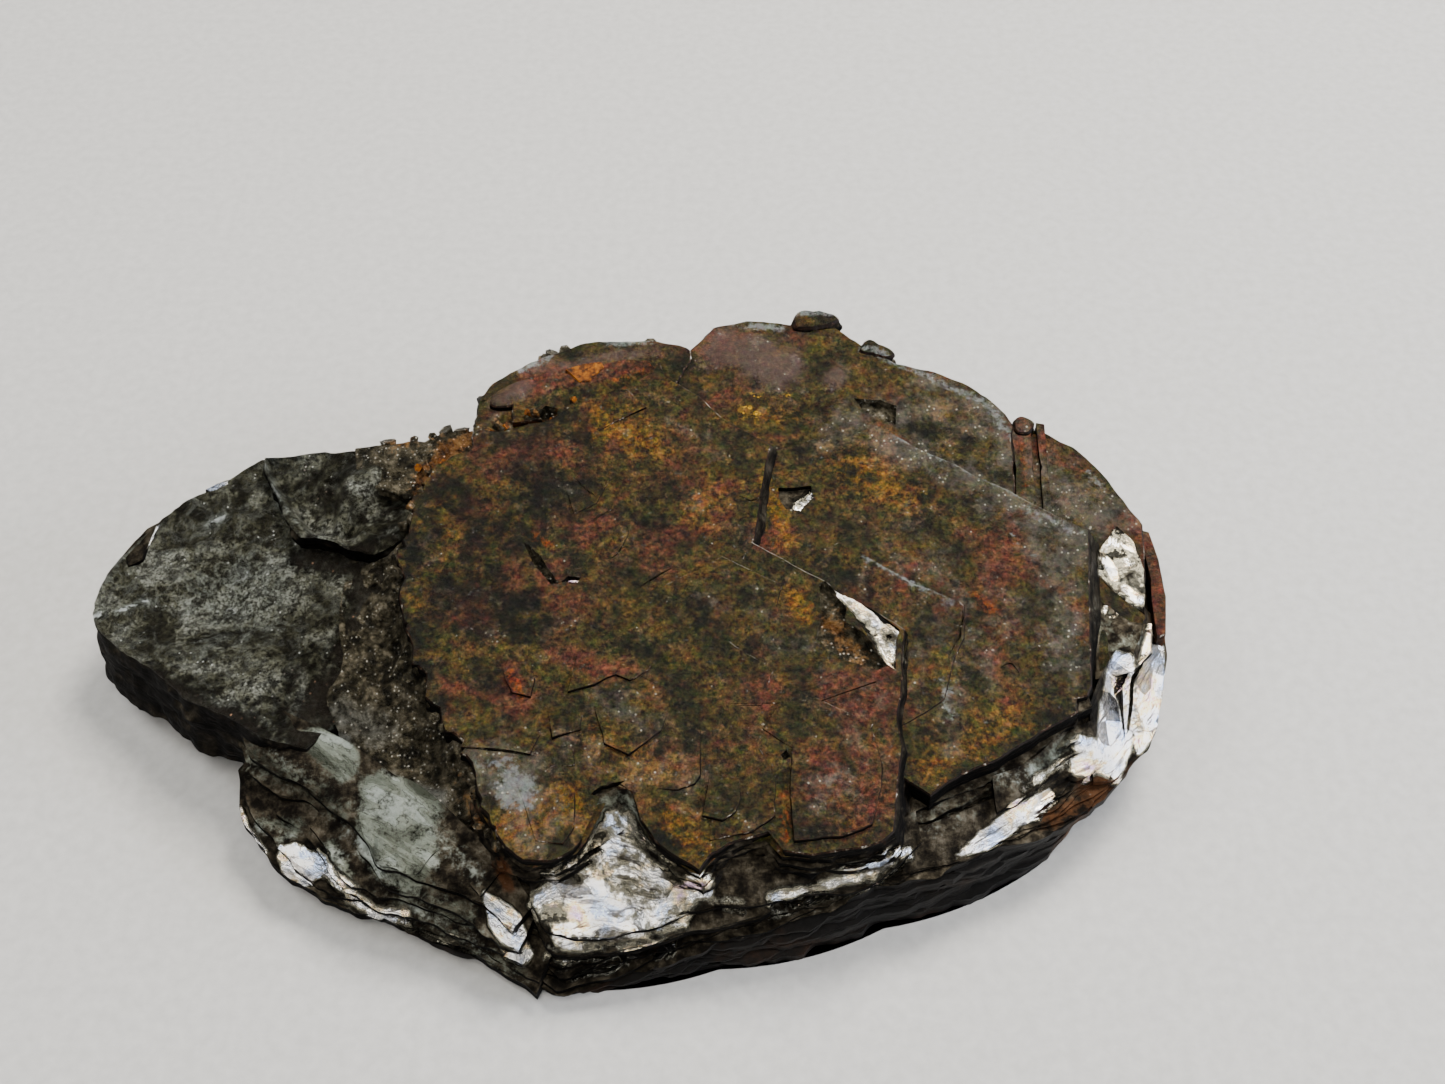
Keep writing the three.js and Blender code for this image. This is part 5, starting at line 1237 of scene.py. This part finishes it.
# Stains and bare places, and painted light: shade, sheen, highlights, reflection and glints, as
# noted at each. Each is an outline or a stroke of (x, y) points in millimetres, with the softness
# of its border in millimetres and its strength.
MARKS = {
    "ochre": [([(1.4, 10.2), (-2.0, 11.6)], 2.2, 0.8), ([(-12.4, 7.0), (-11.4, 3.0)], 1.2, 0.6),
              ([(-5.6, -17.6), (-3.2, -16.0)], 1.8, 1.3), ([(19.0, -13.0), (24.0, -10.0)], 1.8, 0.6),
              ([(-1.4, -12.0), (2.4, -14.0)], 1.8, 0.8), ([(15.0, 9.0), (18.0, 6.0)], 2.2, 0.8),
              ([(3.0, -16.4), (4.4, -18.6)], 1.4, 0.8), ([(7.0, 13.0), (12.0, 12.6)], 1.6, 0.5),
              ([(21.0, 14.0), (23.0, 12.4)], 1.6, 0.5), ([(10.0, 3.0), (9.3, 6.8)], 0.9, 1.0),
              ([(10.8, -2.0), (11.3, -3.6)], 0.8, 1.1), ([(4.6, 4.0), (7.0, 8.0)], 1.6, 0.5)],
    "red": [([(-1.0, 1.6), (5.6, 3.2)], 1.8, 0.7), ([(12.6, -8.2), (15.8, -9.6)], 1.6, 0.9),
            ([(21.4, -0.6), (25.4, -6.4)], 2.2, 0.35), ([(11.4, -14.4), (14.4, -16.6)], 2.2, 0.9),
            ([(-7.0, -7.4), (-6.0, -9.0)], 0.8, 1.2), ([(-6.8, 15.4), (1.0, 17.0)], 0.9, 1.1),
            ([(-9.0, 7.0), (-7.6, 8.4)], 1.2, 0.8), ([(-9.6, 4.4), (-4.0, 8.6)], 3.4, 0.5),
            ([(-0.6, 9.6), (5.4, 4.4)], 3.4, 0.4), ([(-10.4, -3.4), (-6.0, -0.6)], 2.4, 0.4),
            ([(24.0, 4.0), (26.0, 0.6)], 1.4, 0.35),
            ([(3.4, 6.0), (6.4, 6.6)], 1.2, 0.7), ([(5.4, 4.6), (8.6, 2.4)], 1.6, 0.8),
            ([(-2.0, 3.0), (-0.6, 5.4)], 1.2, 0.7), ([(26.4, 13.0), (26.8, 12.2)], 0.6, 1.2),
            ([(34.3, -2.4), (34.6, 1.0), (34.2, 5.2)], 0.8, 1.4), ([(27.4, 12.6), (28.4, 11.8)], 0.8, 0.7)],
    "orange": [([(-6.0, 2.6), (-5.0, 2.0)], 0.7, 0.9), ([(-6.8, -7.4), (-6.0, -8.8)], 0.6, 1.0),
               ([(-1.2, 15.6), (1.4, 17.0)], 0.6, 0.9), ([(9.9, -18.2), (9.7, -15.2)], 0.5, 0.9),
               ([(22.0, -1.2), (23.2, -2.2)], 1.0, 0.8), ([(26.2, 7.0), (26.5, 12.0)], 0.4, 0.8),
               ([(-2.2, -8.9), (-1.8, -9.4)], 0.4, 0.7), ([(10.6, -18.4), (13.0, -18.2)], 0.6, 0.5),
               ([(-0.5, 14.6), (1.0, 12.9)], 0.25, 0.8), ([(28.6, 10.8), (29.6, 8.4)], 1.0, 0.5)],
    # haze: pale grey, partly worn skin and partly painted sheen
    "haze_and_sheen": [([(17.4, 10.4), (23.0, 7.6), (27.4, 4.8)], 1.6, 0.9),
             ([(26.4, 3.6), (28.0, -1.0), (27.4, -6.6)], 1.6, 0.7),
             ([(18.0, 4.0), (21.0, 0.0), (22.0, -6.0)], 2.6, 0.45),
             ([(14.0, 12.0), (20.0, 14.6), (24.6, 12.0)], 2.2, 0.7),
             ([(24.4, 5.6), (29.0, 3.4), (27.6, 0.6)], 1.6, 0.9),
             ([(20.0, 16.4), (24.6, 13.6), (25.4, 9.0)], 1.0, 1.0),
             ([(-8.0, -13.6), (-5.6, -14.4), (-4.6, -17.6)], 2.0, 0.9),
             ([(-3.0, -12.6), (3.4, -14.4)], 2.2, 0.5), ([(12.0, -16.0), (14.6, -12.4)], 2.0, 0.3),
             ([(15.0, -9.0), (19.4, -4.0)], 1.4, 0.4), ([(20.4, -7.6), (20.0, -12.0)], 0.8, 0.6),
             ([(5.4, -2.4), (13.0, -7.0)], 1.4, 0.35), ([(-1.0, -9.4), (1.6, -11.0)], 1.2, 0.6),
             ([(27.4, 9.0), (31.4, 6.0)], 2.0, 0.95), ([(2.0, 12.0), (6.0, 9.0)], 0.8, 0.4)],
    # dark: olive black patches, and painted shade along the crown's left edge and across its left side
    "dark_stain_and_shade": [([(-8.0, 8.0), (-4.0, 5.4)], 3.0, 1.1), ([(-11.0, -1.6), (-6.4, -3.8)], 3.0, 1.1),
             ([(-9.8, 10.0), (-3.4, 11.4)], 1.8, 0.9), ([(-11.6, 6.0), (-11.6, 0.0)], 1.6, 0.6),
             ([(-10.8, 3.6), (-8.6, -7.6)], 2.4, 0.7), ([(-12.0, 3.4), (-9.0, 8.8)], 2.4, 0.95),
             ([(-12.4, 6.0), (-8.2, 3.4)], 3.0, 1.2),
             ([(2.4, -1.8), (8.0, -4.4)], 2.2, 0.7), ([(14.4, 0.0), (19.4, -5.4)], 1.8, 0.6),
             ([(18.6, 10.6), (24.4, 9.6)], 1.6, 0.6), ([(14.0, 11.6), (18.0, 12.6)], 1.2, 0.6),
             ([(-5.0, -4.6), (1.0, -5.0)], 1.6, 0.4), ([(4.6, 17.0), (3.6, 14.8)], 1.2, 0.9),
             ([(-9.6, -12.8), (-12.0, -7.6), (-13.8, -2.4), (-14.2, 0.6), (-13.9, 5.0)], 0.7, 1.1),
             ([(-12.2, 8.4), (-10.2, 10.5), (-6.0, 11.5), (-3.8, 12.9)], 0.8, 1.0)],
    "mauve": [([(6.6, 19.0), (10.0, 17.4)], 2.4, 1.4), ([(13.9, 16.5), (14.0, 16.5)], 1.2, 1.2),
              ([(-8.8, 14.0), (-7.4, 15.2)], 1.0, 1.3), ([(24.4, -1.6), (26.4, -4.0)], 2.0, 0.6),
              ([(12.4, -15.4), (13.4, -14.2)], 1.2, 0.7), ([(-7.6, 16.8), (2.0, 18.8)], 0.9, 0.9)],
    # bare: rubbed grey metal, and painted highlights just inside the back rims
    "bare": [([(-7.0, -15.0), (-6.5, -14.2), (-5.1, -14.5), (-4.9, -15.6), (-5.8, -16.1), (-6.7, -15.8)],
              0.35, 0.95),
             ([(-8.4, -13.8), (-6.8, -13.2), (-5.9, -14.0)], 0.35, 0.75),
             ([(-5.9, -16.3), (-5.0, -16.2)], 0.3, 0.9),
             ([(26.0, 5.4), (29.2, 3.4)], 0.4, 0.75), ([(24.8, 3.6), (25.5, 2.2), (26.2, 1.9)], 0.14, 0.85),
             ([(19.9, -7.6), (20.0, -9.8)], 0.5, 0.7),
             ([(17.4, 11.4), (26.0, 6.2)], 0.2, 0.8), ([(15.0, 1.6), (18.4, -0.5), (21.2, -2.2)], 0.25, 0.9),
             ([(-1.8, 19.3), (1.0, 19.4)], 0.35, 0.9), ([(-7.8, 16.9), (-5.6, 18.3)], 0.35, 0.85),
             ([(30.8, 9.4), (31.6, 8.4)], 0.3, 0.9), ([(16.0, 19.0), (19.4, 17.1), (24.2, 14.3),
                                                       (25.5, 11.4)], 0.3, 0.9),
             ([(11.4, 22.0), (13.8, 22.0)], 0.4, 0.95), ([(7.2, 21.1), (10.4, 20.9)], 0.3, 1.0)],
    # gold: places of the painted gold glints
    "gold_glint": [([(7.7, 13.8), (8.3, 13.2)], 0.5, 1.1), ([(8.5, 15.0), (8.8, 14.7)], 0.3, 0.9),
             ([(10.4, 15.3), (10.6, 15.0)], 0.3, 0.9)],
    # worn: worn rims, pale only where they look to the back: partly wear, partly painted highlight
    "worn": [([(16.2, 12.0), (24.0, 7.4), (30.0, 3.7)], 0.9, 1.1), ([(26.6, 12.6), (27.6, 12.8)], 0.4, 0.5),
             ([(18.0, 18.0), (24.4, 15.4), (26.0, 13.0)], 0.8, 1.0), ([(6.3, 3.3), (12.8, -0.8)], 0.4, 1.4),
             ([(6.2, 1.0), (9.6, -0.9)], 0.4, 1.2), ([(13.6, 2.7), (15.2, 1.6), (18.3, -0.4), (21.4, -2.2)],
                                                     0.4, 1.6),
             ([(3.4, 14.9), (6.2, 12.2)], 0.5, 0.55), ([(11.4, 22.2), (14.2, 22.2)], 0.8, 1.2),
             ([(12.7, -0.7), (17.4, -4.2), (17.1, -7.4)], 0.4, 1.4), ([(6.6, -5.2), (9.4, -7.2)], 0.3, 0.9),
             ([(11.9, -9.2), (15.3, -11.0)], 0.3, 0.9), ([(7.4, 21.6), (10.6, 21.3)], 0.6, 1.0),
             ([(-7.8, 17.2), (-5.0, 18.8)], 0.6, 1.3), ([(-2.0, 19.6), (1.2, 19.6)], 0.6, 1.4),
             ([(15.8, 19.6), (19.5, 17.4)], 0.5, 0.9)],
    # pearl: painted sheen on the wing, and painted highlights where the strength is highest
    "pearl": [([(-28.6, 0.8), (-25.6, 3.0), (-22.6, 2.6), (-23.6, 0.4), (-26.0, -0.6)], 1.4, 1.0),
              ([(-26.4, -2.6), (-23.0, -1.6)], 1.4, 0.7), ([(-34.8, -0.1), (-34.3, 0.1)], 0.35, 1.8),
              ([(-33.4, 0.2), (-31.5, 0.9)], 0.3, 1.7),
              ([(-21.0, -7.6), (-19.6, -8.6)], 1.2, 0.4), ([(-28.2, 6.3), (-27.2, 6.8)], 0.4, 1.5),
              ([(-16.8, 5.6), (-15.6, 6.6)], 0.4, 0.9), ([(-30.0, 9.0), (-28.6, 9.2)], 0.4, 1.2),
              ([(-24.7, 10.4), (-23.4, 7.4), (-21.6, 5.0), (-20.6, 4.3)], 0.22, 1.3),
              ([(-34.8, 1.8), (-33.6, 4.6)], 0.3, 0.9),
              ([(-32.0, 6.6), (-30.4, 8.2), (-27.4, 9.6)], 0.25, 0.8)],
    # grit: black granular grit, and painted shadow under the folded plate's ledge
    "grit": [([(-30.4, -5.0), (-26.4, -7.6), (-22.4, -9.8)], 0.9, 1.0),
             ([(-19.6, -10.0), (-18.2, -6.4)], 1.8, 1.1),
             ([(-22.4, 9.4), (-18.6, 6.2), (-14.6, 6.6)], 2.2, 0.46),
             ([(-21.4, 3.4), (-18.4, 2.4), (-15.6, 1.4)], 0.8, 1.3),
             ([(-17.6, -4.0), (-16.6, -1.0), (-17.0, 2.0)], 1.2, 1.2),
             ([(-21.0, -9.4), (-20.4, -5.0)], 1.3, 0.6)],
    # silver: bare mirror laminae, their near-white colour partly painted reflection and glare
    "silver_and_glare": [([(-4.9, -20.8), (-2.8, -19.2), (-1.6, -18.0), (-0.4, -17.6), (0.8, -18.0), (2.4, -19.4),
                 (4.6, -20.7),
                 (4.0, -21.4), (1.6, -22.2), (-1.0, -22.5), (-3.0, -22.5)], 0.5, 0.95),
               ([(-2.6, -20.6), (-1.0, -19.8), (-0.4, -20.6), (-0.9, -21.4), (-2.4, -21.8)], 0.5, 1.6),
               ([(-3.4, -22.2), (-0.4, -21.8), (1.4, -22.0)], 0.45, 1.5),
               ([(2.4, -21.4), (3.6, -20.4), (5.4, -20.2)], 0.45, 1.5),
               ([(0.4, -19.2), (1.8, -19.4), (3.0, -20.0)], 0.4, 1.35),
               ([(-0.9, -17.6), (-0.5, -16.2), (0.2, -15.8), (0.9, -16.6), (1.3, -17.6)], 0.35, 0.84),
               ([(-0.6, -17.0), (0.0, -16.2), (0.7, -16.9)], 0.15, 1.3),
               ([(-4.6, -20.8), (-3.2, -20.0)], 0.4, 1.3),
               ([(-1.4, -17.4), (-0.6, -16.6), (0.8, -17.0), (1.8, -18.0), (3.4, -19.4)], 0.3, 0.85),
               ([(-7.6, -20.2), (-6.9, -20.5), (-5.7, -21.4), (-5.1, -22.5), (-5.5, -23.0), (-6.5, -22.5),
                 (-7.3, -21.4)],
                0.25, 1.35),
               ([(9.0, -20.5), (11.6, -19.9), (15.0, -19.1), (17.2, -17.7)], 0.42, 1.05),
               ([(5.6, -20.7), (7.4, -20.8)], 0.3, 0.85),
               ([(-20.8, -16.0), (-19.6, -15.8), (-18.4, -16.4), (-17.9, -17.6), (-19.2, -18.0),
                 (-20.4, -17.1)], 0.25, 1.3),
               ([(-18.2, -16.4), (-17.0, -18.2), (-14.6, -19.8), (-12.6, -20.2)], 0.45, 1.15),
               ([(-23.6, -13.2), (-23.0, -14.4), (-21.7, -15.9)], 0.3, 1.3),
               ([(-4.2, -22.8), (-0.8, -22.8)], 0.3, 0.9), ([(-2.6, -23.6), (0.6, -23.2)], 0.25, 1.0),
               ([(0.4, -22.9), (3.4, -22.4)], 0.2, 1.1), ([(12.3, -2.6), (13.0, -5.2), (15.4, -7.0)], 0.3,
                                                          1.4),
               ([(-3.6, -23.4), (-1.2, -23.4)], 0.3, 0.8), ([(-12.4, -20.6), (-9.0, -21.9)], 0.35, 0.8),
               ([(20.1, -17.5), (22.2, -16.7), (24.2, -15.2), (26.6, -13.5), (26.2, -13.0), (24.8, -13.9),
                 (23.5, -14.7),
                 (21.6, -16.1)], 0.15, 1.3),
               ([(24.4, -13.6), (26.8, -11.7), (27.9, -10.4)], 0.35, 1.0),
               ([(27.6, -11.8), (28.2, -10.2), (29.2, -10.2), (29.2, -11.2), (28.6, -12.0)], 0.25, 1.3),
               ([(29.4, -11.4), (29.7, -8.2), (30.4, -6.0), (31.0, -4.6), (31.8, -4.6), (31.9, -7.6),
                 (31.4, -10.0),
                 (30.6, -11.6)], 0.35, 1.35),
               ([(32.2, -9.6), (32.2, -7.0), (32.8, -4.4), (33.6, -2.2), (34.4, -2.6), (34.2, -5.4),
                 (33.4, -8.2)], 0.35, 1.35),
               ([(31.8, 5.0), (30.8, 3.0), (30.6, 1.4), (31.6, 0.4), (32.4, -0.9), (33.1, -1.2),
                 (33.6, 1.8), (33.2, 4.2)],
                0.3, 0.8), ([(31.2, 2.4), (31.6, 1.2)], 0.5, 1.5), ([(32.2, 0.4), (33.0, -0.4)], 0.5, 1.5),
               ([(31.6, 4.0), (33.2, 3.2)], 0.35, 1.2),
               ([(30.6, -1.4), (30.9, -0.6)], 0.2, 1.2), ([(31.0, -1.8), (32.2, -1.2)], 0.15, 1.2),
               ([(13.4, -1.2), (15.2, -2.9), (16.6, -4.8), (16.7, -6.6)], 1.1, 0.97),
               ([(13.0, -0.9), (15.4, -2.5), (17.1, -4.4)], 0.22, 1.4),
               ([(14.6, -4.0), (15.7, -6.6), (16.7, -7.1)], 0.25, 1.4),
               ([(11.1, 5.5), (12.0, 6.4)], 0.6, 1.6), ([(-4.1, -0.9), (-2.7, -0.6)], 0.4, 1.3),
               ([(-32.0, 4.4), (-31.6, 6.6)], 0.15, 1.3), ([(-28.6, 9.0), (-27.3, 9.3)], 0.35, 1.4)],
    "satin": [([(-19.6, -9.8), (-18.1, -9.6), (-16.9, -10.3), (-16.2, -11.4), (-16.2, -12.3),
                (-16.9, -12.7), (-17.8, -11.8),
                (-18.8, -11.0)], 0.35, 1.2),
              ([(-15.3, -13.2), (-14.3, -12.9), (-13.0, -13.4), (-11.4, -14.1), (-10.8, -14.4),
                (-10.8, -15.5),
                (-11.3, -16.2), (-11.0, -17.5), (-11.0, -18.2), (-11.8, -19.2), (-13.9, -18.4),
                (-14.8, -17.2),
                (-15.3, -16.2), (-15.1, -14.8)], 0.6, 1.1),
              ([(-17.4, -16.4), (-16.2, -18.2)], 0.6, 1.0), ([(-22.2, -14.3), (-19.5, -14.6),
                                                              (-20.6, -15.4)], 0.5, 0.9),
              ([(-23.0, -10.6), (-20.4, -12.0), (-18.2, -13.2), (-16.6, -14.8)], 0.9, 0.65),
              ([(-12.8, -19.6), (-11.0, -20.0), (-8.8, -20.8)], 0.8, 0.75),
              ([(-10.2, -17.2), (-8.2, -19.2)], 0.8, 0.5),
              ([(-16.0, -19.0), (-8.6, -21.9), (-5.4, -23.4)], 0.5, 0.6),
              ([(18.0, -15.9), (24.0, -12.8)], 1.0, 0.4),
              ([(25.0, -12.6), (27.6, -10.4)], 0.6, 0.9), ([(30.6, -1.6), (30.6, -4.0), (32.6, -3.4)], 0.8,
                                                           0.55),
              ([(-15.8, 3.0), (-15.4, 0.0)], 0.6, 0.4), ([(-17.6, -8.4), (-15.0, -9.8)], 1.6, 0.75),
              ([(-1.8, -16.8), (-1.0, -15.4), (0.4, -15.4), (1.3, -16.8), (-0.4, -17.6)], 0.5, 0.8)],
    "rust": [([(26.0, -14.6), (30.4, -12.4), (31.4, -10.6), (28.6, -12.6)], 1.0, 1.0),
             ([(-6.9, -18.9), (-6.3, -19.7)], 0.5, 1.1),
             ([(-24.0, -11.0), (-23.0, -12.6)], 0.6, 0.5), ([(34.4, -2.4), (34.8, 5.0)], 0.7, 1.1),
             ([(-10.4, 11.8), (-12.2, 10.6), (-13.6, 8.2)], 0.9, 1.2),
             ([(-13.8, 7.4), (-14.4, 4.6)], 0.5, 1.0),
             ([(-13.0, 11.6), (-16.0, 11.0)], 0.8, 0.6), ([(-9.4, -14.0), (-8.0, -16.8)], 0.5, 0.6),
             ([(-3.8, 13.4), (-8.0, 11.8), (-10.4, 11.0)], 0.5, 0.9),
             ([(12.8, -2.6), (13.6, -4.6), (15.2, -6.4)], 0.8, 1.0)],
}
spots = np.empty(3 * len(mesh.vertices))
mesh.vertices.foreach_get("co", spots)
spots = (spots.reshape(-1, 3) / MM - shift)[:, :2]
for name, marks in MARKS.items():
    amount = np.zeros(len(spots))
    for outline, reach, strength in marks:
        corners = np.array(outline)
        closed = len(corners) > 4 and np.linalg.norm(corners[0] - corners[-1]) < 4
        away = np.full(len(spots), 1e9)
        inside = np.zeros(len(spots), bool)
        for a, b in zip(corners if closed else corners[:-1], np.roll(corners, -1, axis=0)):
            run = b - a
            share = np.clip((spots - a) @ run / (run @ run + 1e-9), 0, 1)
            away = np.minimum(away, np.linalg.norm(spots - a - share[:, None] * run, axis=1))
            if closed and a[1] != b[1]:
                crossed = (a[1] > spots[:, 1]) != (b[1] > spots[:, 1])
                inside ^= crossed & (spots[:, 0] < a[0] + run[0] * (spots[:, 1] - a[1]) / run[1])
        away[inside] = 0
        amount = np.maximum(amount, strength * np.exp(-(away / reach) ** 2))
    mesh.attributes.new(name, "FLOAT", "POINT").data.foreach_set("value", amount.astype(np.float32))

mesh.shade_smooth()
mesh.set_sharp_from_angle(angle=np.radians(32))
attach(stone, "root")
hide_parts("hematite_rose")

# ---------------------------------------------------------------------------------------------
# Stage: a plain pale floor, soft lights and the camera, which looks down at fifty degrees from
# the front, twelve centimetres away.
# ---------------------------------------------------------------------------------------------

FLOOR_HALF = 0.6           # metres
floor_mesh = bpy.data.meshes.new("floor")
floor_mesh.from_pydata([(-FLOOR_HALF, -FLOOR_HALF, 0), (FLOOR_HALF, -FLOOR_HALF, 0),
                        (FLOOR_HALF, FLOOR_HALF, 0),
                        (-FLOOR_HALF, FLOOR_HALF, 0)], [], [(0, 1, 2, 3)])
floor = bpy.data.objects.new("floor", floor_mesh)
bpy.context.collection.objects.link(floor)
finish, place = new_finish("pale_floor")
fleece = add(finish, "TexNoise", {"Vector": place, "Scale": per(0.8), "Detail": 3.0})
tone = add(finish, "ValToRGB", {0: fleece}, [(0.3, "#b6b6b4"), (0.7, "#c2c2c0")])
add(finish, "OutputMaterial", {"Surface": add(finish, "BsdfPrincipled",
                                              {"Base Color": tone, "Roughness": 0.85})})
floor_mesh.materials.append(finish)

AIM = Vector((np.array([6.2, 5.2, 7.0]) + shift) * MM)
ELEVATION = np.radians(50)  # above the floor
DISTANCE = 0.120            # metres from the point aimed at
camera_data = bpy.data.cameras.new("camera")
camera_data.sensor_width = 36
camera_data.lens = 36 * 1800 / 1445
camera_data.clip_start = 0.005
camera = bpy.data.objects.new("camera", camera_data)
bpy.context.collection.objects.link(camera)
camera.location = AIM + Vector((0, -np.cos(ELEVATION), np.sin(ELEVATION))) * DISTANCE
camera.rotation_euler = (AIM - camera.location).to_track_quat("-Z", "Y").to_euler()
bpy.context.scene.camera = camera


def soft_light(name, place, size, power, colour):
    """A square area light at a place in metres, aimed at the stone."""
    data = bpy.data.lights.new(name, "AREA")
    data.size = size
    data.energy = power
    data.color = linear(colour)[:3]
    light = bpy.data.objects.new(name, data)
    light.location = place
    light.rotation_euler = (Vector((0, 0, 0.005)) - light.location).to_track_quat("-Z", "Y").to_euler()
    bpy.context.collection.objects.link(light)


soft_light("key_behind", (0.12, 0.20, 0.33), 0.15, 2.45, "#fff8ee")
soft_light("fill_left", (-0.24, 0.12, 0.34), 0.14, 0.7, "#ffffff")
soft_light("overhead_front", (0.0, -0.16, 0.36), 0.20, 1.15, "#fffaf2")
soft_light("window_right", (0.38, -0.04, 0.145), 0.15, 2.0, "#eef3ff")
world = bpy.data.worlds.new("studio")
world.use_nodes = True
world.node_tree.nodes["Background"].inputs["Color"].default_value = linear("#c8ccd2")
world.node_tree.nodes["Background"].inputs["Strength"].default_value = 0.2
bpy.context.scene.world = world
